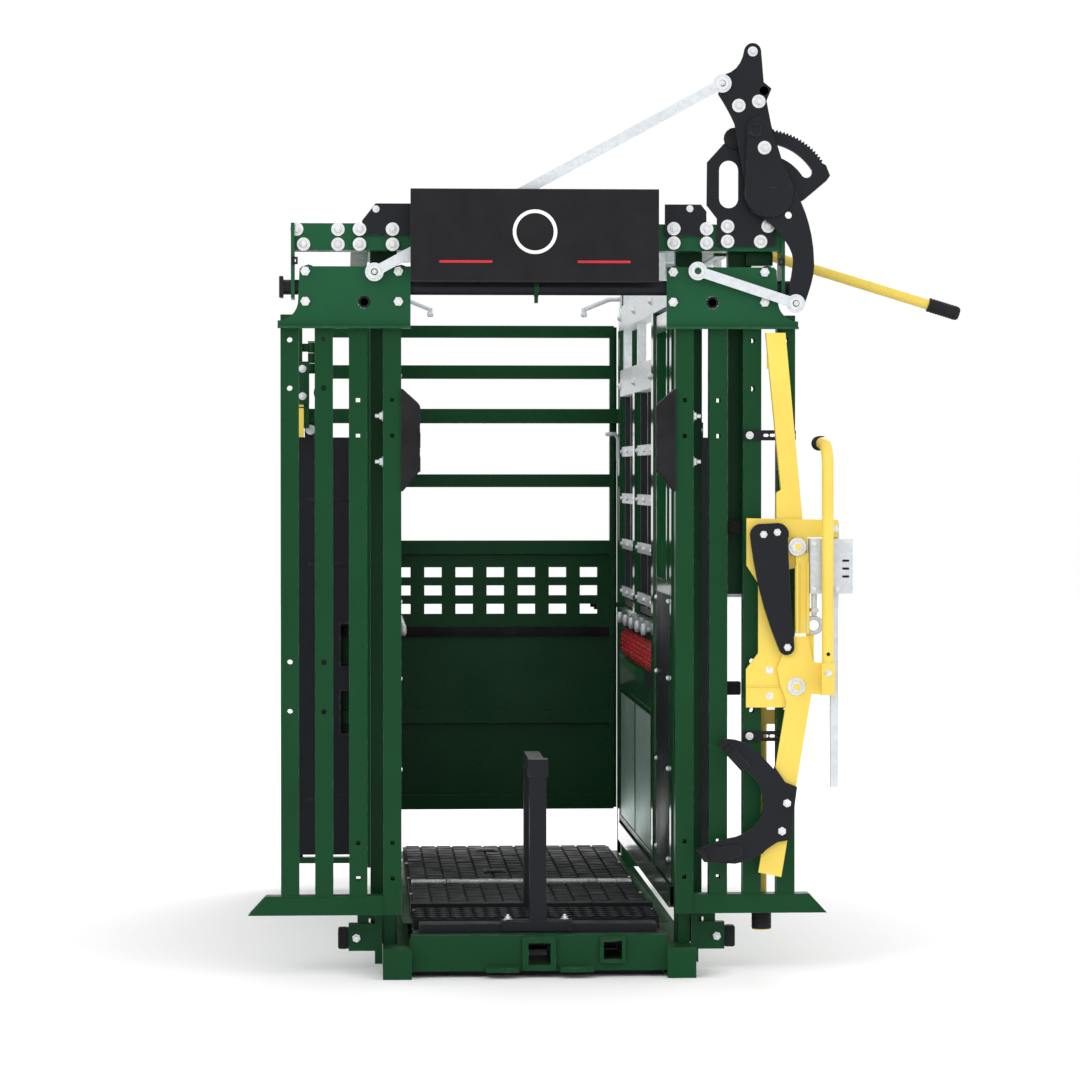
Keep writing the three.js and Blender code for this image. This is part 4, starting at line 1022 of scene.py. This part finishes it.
def sign_face():
    """A plain ring between two thin rules on the dark panel, and folded edges."""
    low, high = node_box("sign_panel")
    front = low.y
    cx = (low.x + high.x) / 2
    bm = bmesh.new()
    for side in (-1, 1):
        a, b = sorted((cx + side * 0.118, cx + side * 0.266))
        add_profile(bm, [rounded(a, b, 1.9915, 1.9985, 0.003)], front - 0.0012, front + 0.0002, 0.0004)
    piece("sign_rules", bm, "root", "red_plastic")
    bm = bmesh.new()
    outer = arc(cx, 2.078, 0.062, 0, 352.5, 47)
    inner = arc(cx, 2.078, 0.052, 0, 352.5, 47)
    add_profile(bm, [outer, inner], front - 0.0012, front + 0.0002, 0.0004)
    piece("sign_ring", bm, "root", "white_vinyl")
    bm = bmesh.new()
    for z0, z1 in ((low.z, low.z + 0.003), (high.z - 0.003, high.z)):
        add_box(bm, (low.x, front - 0.0010, z0), (high.x, front + 0.001, z1), 0.0005)
    piece("sign_edges", bm, "root", "black_poly")


sign_face()


# ---- side walls

def wall_fittings(side, name):
    """Louvres, knobs and weld beads of one wall, and the fittings of its gates, panel, door and beams."""
    bm = bmesh.new()
    for i in range(16):
        y = 0.800 + i * 0.078
        for k in range(4):
            z = 0.822 + k * 0.0145
            add_box(bm, (side * 0.3795, y + 0.004, z), (side * 0.3850, y + 0.048, z + 0.0085), 0.0018)
    piece(f"{name}_louvres", bm, f"{name}_wall", "red_plastic")
    bm = bmesh.new()
    ball = [(0.016, 0.008), (0.019, 0.014), (0.017, 0.021), (0.009, 0.024)]
    for i in range(5):
        place = (side * 0.3797, 0.86 + i * 0.245, 0.933)
        add_lathe(bm, [(0, 0), (0.008, 0), (0.008, 0.006), *ball, (0, 0.0245)], place, (-side, 0, 0), 24)
    piece(f"{name}_latch_knobs", bm, f"{name}_wall", "link_steel", angle=40)
    lines = [((side * 379.5, 772, 236), (side * 379.5, 2076, 236)),
             ((side * 381, 770.5, 300), (side * 381, 770.5, 780)),
             ((side * 381, 2079.5, 300), (side * 381, 2079.5, 780)),
             ((side * 381, 700, 900), (side * 381, 700, 240))]
    welds(f"{name}_wall_welds", f"{name}_wall", lines, 0.0022)
    gate_fittings(side, name, "front", 0.800, 1.395)
    gate_fittings(side, name, "rear", 1.525, 2.050)
    panel_rim(side, name)
    door_fittings(side, name)
    beam_bolts(side, name)


def gate_fittings(side, name, label, y0, y1):
    """Slats with their bolts, hinges and the top pin of one drop gate between y0 and y1."""
    body = f"{name}_{label}_gate"
    bm = bmesh.new()
    for z in SLAT_HEIGHTS:
        add_box(bm, (side * 0.3866, y0 - 0.006, z - 0.0165),
                (side * 0.3898, y1 + 0.006, z + 0.0165), 0.0015)
    piece(f"{name}_{label}_slats", bm, body, "zinc_dark")
    ends = [(side * 0.3866, y0 + 0.013 + k * (y1 - y0 - 0.026) / 2, z)
            for z in SLAT_HEIGHTS for k in range(3)]
    bolt_set(f"{name}_{label}_slat_bolts", body, ends, (-side, 0, 0), 0.011, 0.008,
             draw=random.Random(SEED + 9))
    bm = bmesh.new()
    for y in (y0 + 0.06, y1 - 0.06):
        add_hinge(bm, (side * HINGE_REACH, y, 0.966), BACK, 0.0095, 0.022)
    piece(f"{name}_{label}_gate_hinges", bm, f"{name}_wall", "black_paint", angle=40)
    bm = bmesh.new()
    add_lathe(bm, disc(0.007, 0.055, 0.002, 0.003), (side * 0.409, (y0 + y1) / 2, 1.6585), UP, 14)
    piece(f"{name}_{label}_gate_pins", bm, body, "bolt_steel")


def panel_rim(side, name):
    """Raised rim and a pale metallic sheet, a painted reflection of the green paint, on the inner side of
    the lower drop panel, its hinges and handles.
    """
    face = side * 0.384
    bm = bmesh.new()
    strips = [(0.790, 2.060, z, z + 0.016) for z in (0.246, 0.676)]
    strips += [(y, y + 0.016, 0.262, 0.676) for y in (0.790, 2.044, 1.417)]
    for y0, y1, z0, z1 in strips:
        add_box(bm, (face, y0, z0), (face - side * 0.0030, y1, z1), 0.0012)
    piece(f"{name}_panel_rim", bm, f"{name}_panel", "green_paint")
    # The inner sheet of the panel, coloured pale as a painted reflection of its glossy green paint.
    bm = bmesh.new()
    for y0, y1 in ((0.808, 1.415), (1.435, 2.042)):
        add_box(bm, (face + side * 0.0002, y0, 0.264), (face - side * 0.0010, y1, 0.674), 0.0004)
    piece(f"{name}_panel_liner", bm, f"{name}_panel", "reflection_liner")
    bm = bmesh.new()
    for y in (0.93, 1.42, 1.91):
        add_hinge(bm, (side * HINGE_REACH, y, 0.236), BACK, 0.011, 0.028)
    piece(f"{name}_panel_hinges", bm, f"{name}_wall", "green_paint", angle=40)
    bm = bmesh.new()
    for y in (1.12, 1.72):
        x = side * 0.4125
        half = [(x, 0.05), (x + side * 0.030, 0.05), (x + side * 0.036, 0.044)]
        near = [(out, y - reach, 0.62) for out, reach in half]
        far = [(out, y + reach, 0.62) for out, reach in reversed(half)]
        add_pipe(bm, near + far, 0.006, 12)
    piece(f"{name}_panel_handles", bm, f"{name}_panel", "zinc_dark", angle=50)


def door_fittings(side, name):
    """Dark lower sheet, hinge barrels and a sprung latch on the neck door."""
    body = f"{name}_door"
    bm = bmesh.new()
    add_box(bm, (side * 0.3850, 0.199, 0.278), (side * 0.3868, 0.633, 1.058), 0.0008)
    piece(f"{name}_door_sheet", bm, body, "black_paint")
    bm = bmesh.new()
    for z in (0.374, 0.794, 1.254, 1.734):
        add_hinge(bm, (side * HINGE_REACH, 0.692, z), UP, 0.011, 0.028)
    piece(f"{name}_door_hinges", bm, f"{name}_wall", "green_paint", angle=40)
    bm = bmesh.new()
    x = side * 0.4245
    add_box(bm, (x, 0.150, 1.050), (x + side * 0.010, 0.190, 1.125), 0.0015)
    bend = ((0.014, 1.025), (0.014, 1.180), (0.022, 1.190), (0.045, 1.190))
    add_pipe(bm, [(x + side * out, 0.170, z) for out, z in bend], 0.006, 12)
    piece(f"{name}_door_latch", bm, body, "zinc_dark", angle=50)
    rivets = [(side * 0.3850, y, z) for z in (0.30, 0.56, 0.82, 1.04) for y in (0.215, 0.617)]
    bolt_set(f"{name}_door_rivets", body, rivets, (-side, 0, 0), 0.010, 0.008, draw=random.Random(SEED + 11))


def beam_bolts(side, name):
    """Bolts on the wall's galvanised beams, and a hooked catch at the rear post."""
    places = [(side * 0.3818, y, z) for y in (0.79, 1.45, 2.05) for z in (1.700, 1.928)]
    bolt_set(f"{name}_beam_bolts", f"{name}_wall", places, (-side, 0, 0), 0.017, 0.014, 0.002,
             random.Random(SEED + 13))
    bm = bmesh.new()
    x = side * 0.3785
    points = [(x, 2.115, 1.45), (x, 2.115, 1.525), (x - side * 0.010, 2.110, 1.540),
              (x - side * 0.040, 2.09, 1.540)]
    add_pipe(bm, points, 0.007, 12, round_ends=0.004)
    add_box(bm, (x, 2.095, 1.40), (x + side * 0.003, 2.135, 1.46), 0.0008)
    piece(f"{name}_rear_catch", bm, f"{name}_wall", "link_steel", angle=50)


for wall_side, wall_name in ((-1, "left"), (1, "right")):
    wall_fittings(wall_side, wall_name)


# ---- header and rails

def beam_hooks(side, name):
    """A bent rod from the wall's upper beam towards the middle, with a hanging pin at its end."""
    y = 2.030
    bm = bmesh.new()
    bend = ((0.381, 1.990), (0.350, 1.990), (0.338, 1.988), (0.262, 1.957), (0.254, 1.950))
    add_pipe(bm, [(side * x, y, z) for x, z in bend], 0.0075, 14, round_ends=0.003)
    pin = [(0.0075, 0), (0.0105, 0.003), (0.0105, 0.012), (0.0075, 0.015), (0.0075, 0.030)]
    add_lathe(bm, [(0, 0), *pin, (0, 0.030)], (side * 0.257, y, 1.930), UP, 18)
    add_box(bm, (side * 0.378, y - 0.018, 1.962), (side * 0.3825, y + 0.018, 2.002), 0.001)
    piece(f"{name}_beam_hook", bm, f"{name}_wall", "link_steel", angle=50)


def frame_fittings():
    """Bolts, welds and end caps of the fixed frame."""
    bm = bmesh.new()
    draw = random.Random(SEED + 31)
    for side in (-1, 1):
        for y in (0.105, 2.202):
            for z in (2.056, 2.078):
                add_bolt(bm, (side * 0.5245, y, z), (side, 0, 0), 0.019, 0.015, 0.003, draw.uniform(0, 1))
        for y in (0.860, 1.900):
            add_bolt(bm, (side * 0.499, y, 2.0925), UP, 0.019, 0.016, 0.003, draw.uniform(0, 1))
    piece("top_rail_bolts", bm, "root", "bolt_steel", angle=28)
    lines = []
    for side in (-1, 1):
        x0, x1 = side * 398, side * 466
        for y in (99.5, 2171.5):
            lines.append(((x0, y, 2041), (x1, y, 2041)))
        lines.append(((x0, 2171.5, 77.5), (x1, 2171.5, 77.5)))
        lines.append(((side * 470.5, 2175, 77.5), (side * 470.5, 2229, 77.5)))
        lines.append(((side * 470.5, 103, 2040), (side * 470.5, 135, 2040)))
    lines += [((542, 61.5, 2029), (604, 61.5, 2029)), ((606.5, 64, 2029), (606.5, 110, 2029))]
    welds("frame_welds", "root", lines, 0.0034)
    bm = bmesh.new()
    for side in (-1, 1):
        add_box(bm, (side * 0.4785, 2.289, 2.0465), (side * 0.5195, 2.2935, 2.0875), 0.0015)
    add_box(bm, (0.546, 0.068, 1.0615), (0.600, 0.106, 1.0665), 0.001)
    piece("tube_end_caps", bm, "root", "black_poly")
    bm = bmesh.new()
    add_box(bm, (0.5385, 0.0605, 1.0575), (0.6075, 0.1135, 1.0665), 0.0012)
    piece("tower_foot_rim", bm, "root", "link_steel")
    bm = bmesh.new()
    add_box(bm, (0.531, 0.012, 0.783), (0.5725, 0.046, 0.821), 0.005)
    add_box(bm, (0.531, 0.012, 1.238), (0.5725, 0.046, 1.274), 0.005)
    piece("leaf_stop_blocks", bm, "right_leaf", "rubber")
    bm = bmesh.new()
    add_box(bm, (0.588, 0.034, 1.992), (0.664, 0.076, 2.0295), 0.003)
    piece("header_bracket", bm, "root", "green_paint")
    bm = bmesh.new()
    for side in (-1, 1):
        x = side * 0.681
        outer = rounded(x - 0.0095, x + 0.0095, 1.989, 2.010, 0.002)
        hole = rounded(x - 0.004, x + 0.004, 1.9955, 2.0035, 0.001)
        add_profile(bm, [outer, hole], -0.036, -0.0305)
    piece("header_end_lugs", bm, "root", "black_paint")


def shaft_fittings():
    """Bearing caps, grease nipples and clamp collars along the squeeze shaft."""
    bm = bmesh.new()
    for y in (0.300, 1.280):
        for dy in (-0.0155, 0.0155):
            direction = (0, math.copysign(1, dy), 0)
            add_lathe(bm, [(0.0182, 0), (0.0245, 0), (0.0245, 0.003), (0.0225, 0.005), (0.0182, 0.005)],
                      (SHAFT_X, y + dy, SHAFT_Z), direction, 28)
        add_lathe(bm, [(0, 0), (0.0045, 0), (0.0045, 0.004), (0.003, 0.006), (0.0036, 0.009), (0.0, 0.010)],
                  (SHAFT_X, y, 2.0895), UP, 12)
    piece("shaft_bearing_caps", bm, "root", "bolt_steel", angle=40)
    bm = bmesh.new()
    collar = [(0.0172, 0), (0.0240, 0), (0.0250, 0.001), (0.0250, 0.013), (0.0240, 0.014), (0.0172, 0.014)]
    for y in (0.345, 1.235, 1.392):
        add_lathe(bm, collar, (SHAFT_X, y, SHAFT_Z), BACK, 28)
    piece("shaft_collars", bm, "squeeze", "zinc_dark", angle=40)
    bm = bmesh.new()
    for y in (0.760, 1.340):
        add_lathe(bm, disc(0.0125, 0.006, 0.0015, 0.002), (SHAFT_X, y - 0.006, 1.940), FRONT, 24)
        add_bolt(bm, (SHAFT_X, y - 0.012, 1.940), FRONT, 0.013, 0, 0.003)
    piece("shaft_crank_pins", bm, "squeeze", "bolt_steel", angle=28)


beam_hooks(-1, "left")
beam_hooks(1, "right")
frame_fittings()
shaft_fittings()


# ---- rear end

def rear_gate_details():
    """Hinges, edges, a dark band of painted shadow, stiffeners, slam latch and weld beads of the rear gate.
    """
    low, high = node_box("rear_gate")
    bm = bmesh.new()
    for z in (0.36, 1.02, 1.80):
        for k in (-1, 1):
            add_lathe(bm, barrel(0.0125, 0.034),
                      (-0.655, 2.2930, z + k * 0.0355 - 0.017), UP, 20)
            middle = z + k * 0.0355
            add_box(bm, (-0.687, 2.289, middle - 0.014), (-0.662, 2.297, middle + 0.014), 0.001)
        add_lathe(bm, [(0, 0), (0.013, 0), (0.013, 0.004), (0, 0.004)], (-0.655, 2.2930, z + 0.0535), UP, 20)
    piece("gate_hinge_barrels", bm, "root", "green_paint", angle=40)
    bm = bmesh.new()
    for z in (0.36, 1.02, 1.80):
        add_lathe(bm, barrel(0.0125, 0.034),
                  (-0.655, 2.2930, z - 0.017), UP, 20)
        add_box(bm, (-0.6435, 2.289, z - 0.014), (-0.6315, 2.297, z + 0.014), 0.001)
    piece("gate_hinge_knuckles", bm, "rear_gate", "green_paint", angle=40)
    # A thin dark strip: painted shadow of the gap above the gate's lower sheet.
    bm = bmesh.new()
    add_box(bm, (low.x + 0.041, low.y + 0.0040, 0.8515), (high.x - 0.003, low.y + 0.0065, 0.8855), 0.001)
    piece("gate_painted_shadow_band", bm, "rear_gate", "rubber")
    bm = bmesh.new()
    add_box(bm, (high.x - 0.0030, low.y + 0.012, low.z + 0.004),
            (high.x + 0.0105, low.y + 0.016, high.z - 0.004), 0.001)
    piece("gate_edge_flange", bm, "rear_gate", "green_paint")
    bm = bmesh.new()
    for x in (-0.46, -0.29, -0.12, 0.05, 0.22):
        add_box(bm, (x - 0.016, 2.2960, 0.601), (x + 0.016, 2.3000, 0.850), 0.0012)
        add_box(bm, (x - 0.016, 2.2960, 0.312), (x + 0.016, 2.3000, 0.554), 0.0012)
    piece("gate_stiffeners", bm, "rear_gate", "green_paint")
    bm = bmesh.new()
    add_box(bm, (0.328, 2.3110, 0.905), (0.372, 2.3150, 1.010), 0.0012)
    add_pipe(bm, [(0.300, 2.322, 0.958), (0.395, 2.322, 0.958)], 0.0085, 16, round_ends=0.003)
    lever = [(2.322, 0.958), (2.345, 0.958), (2.352, 0.950), (2.352, 0.895)]
    add_pipe(bm, [(0.335, y, z) for y, z in lever], 0.006, 12, round_ends=0.003)
    for x in (0.318, 0.362):
        add_box(bm, (x - 0.008, 2.3145, 0.942), (x + 0.008, 2.3330, 0.974), 0.002)
    piece("gate_slam_latch", bm, "rear_gate", "black_paint", angle=50)
    lines = []
    for z0, z1 in ((0.262, 0.310), (0.556, 0.599), (1.133, 1.179), (1.361, 1.405), (1.730, 1.776)):
        for z in (z0, z1):
            lines.append(((-590, 2274.5, z / MM), (-590, 2311.5, z / MM)))
    for z in (311, 555, 600, 1132):
        lines.append(((-588, 2288, z), (358, 2288, z)))
    welds("gate_welds", "rear_gate", lines, 0.0024)


def tail_details():
    """Rollers, ribs and pulls of the tail panels, the plates on their track, and the gate's red rollers."""
    for side, name in ((-1, "left"), (1, "right")):
        body = f"{name}_tail"
        bm = bmesh.new()
        for x in (0.435, 0.658):
            for y, direction in ((2.2335, FRONT), (2.2665, (0, 1, 0))):
                add_lathe(bm, disc(0.017, 0.004, 0.0025, 0.001),
                          (side * x, y + (0.0075 if direction == FRONT else -0.0075), 1.556), direction, 28)
        piece(f"{name}_tail_rollers", bm, body, "zinc_dark", angle=40)
        bm = bmesh.new()
        for z in (0.30, 1.10, 1.32):
            add_box(bm, (side * 0.427, 2.2345, z - 0.006), (side * 0.666, 2.2385, z + 0.006), 0.0018)
        for z0, z1 in ((0.752, 0.898), (0.524, 0.670)):
            x = side * 0.542
            outer = rounded(x - 0.020, x + 0.020, z0 - 0.006, z1 + 0.006, 0.008)
            inner = rounded(x - 0.0138, x + 0.0138, z0 + 0.0005, z1 - 0.0005, 0.006)
            add_profile(bm, [outer, inner], 2.2355, 2.2390, 0.0008)
        piece(f"{name}_tail_ribs", bm, body, "black_paint")
        bm = bmesh.new()
        x = side * 0.400
        bend = [(2.2620, 1.000), (2.2690, 1.000), (2.2712, 1.004)]
        bend += [(y, 2.150 - z) for y, z in reversed(bend)]
        add_pipe(bm, [(x, y, z) for y, z in bend], 0.0035, 12)
        piece(f"{name}_tail_pull", bm, body, "zinc_dark", angle=50)
    bm = bmesh.new()
    add_box(bm, (-0.716, 2.1660, 1.632), (-0.680, 2.1700, 1.752), 0.0012)
    add_box(bm, (-0.716, 2.1660, 1.530), (-0.680, 2.1700, 1.628), 0.0012)
    piece("tail_pull_plate", bm, "root", "yellow_paint")
    bm = bmesh.new()
    add_box(bm, (-0.706, 2.1700, 1.560), (-0.662, 2.1980, 1.640), 0.003)
    add_box(bm, (-0.706, 2.1608, 1.640), (-0.662, 2.1668, 1.785), 0.002)
    add_box(bm, (-0.706, 2.1708, 1.640), (-0.662, 2.2320, 1.785), 0.003)
    piece("tail_track_end_plate", bm, "root", "green_paint")
    bolts("tail_plate_bolts", "root", [(-684, 1760), (-684, 1668)], 2160.8, across=0.016, washer=0.013,
          stub=0.002)
    bm = bmesh.new()
    wheel = [(0.030, 0), (0.032, 0.002), (0.032, 0.010), (0.029, 0.013), (0.012, 0.0145)]
    for z in (1.683, 1.814):
        add_lathe(bm, [(0, 0), *wheel, (0, 0.0145)], (-0.616, 2.2995, z), FRONT, 36)
    piece("gate_red_rollers", bm, "rear_gate", "red_plastic", angle=40)
    bolt_set("gate_roller_bolts", "rear_gate", [(-0.616, 2.2850, z) for z in (1.683, 1.814)], FRONT,
             0.014, 0.010, 0.002)
    lines = [((-660, 2231, 1580), (660, 2231, 1580)), ((-684, 2271.5, 200), (-684, 2271.5, 1600))]
    welds("tail_track_welds", "root", lines, 0.0026)


rear_gate_details()
tail_details()
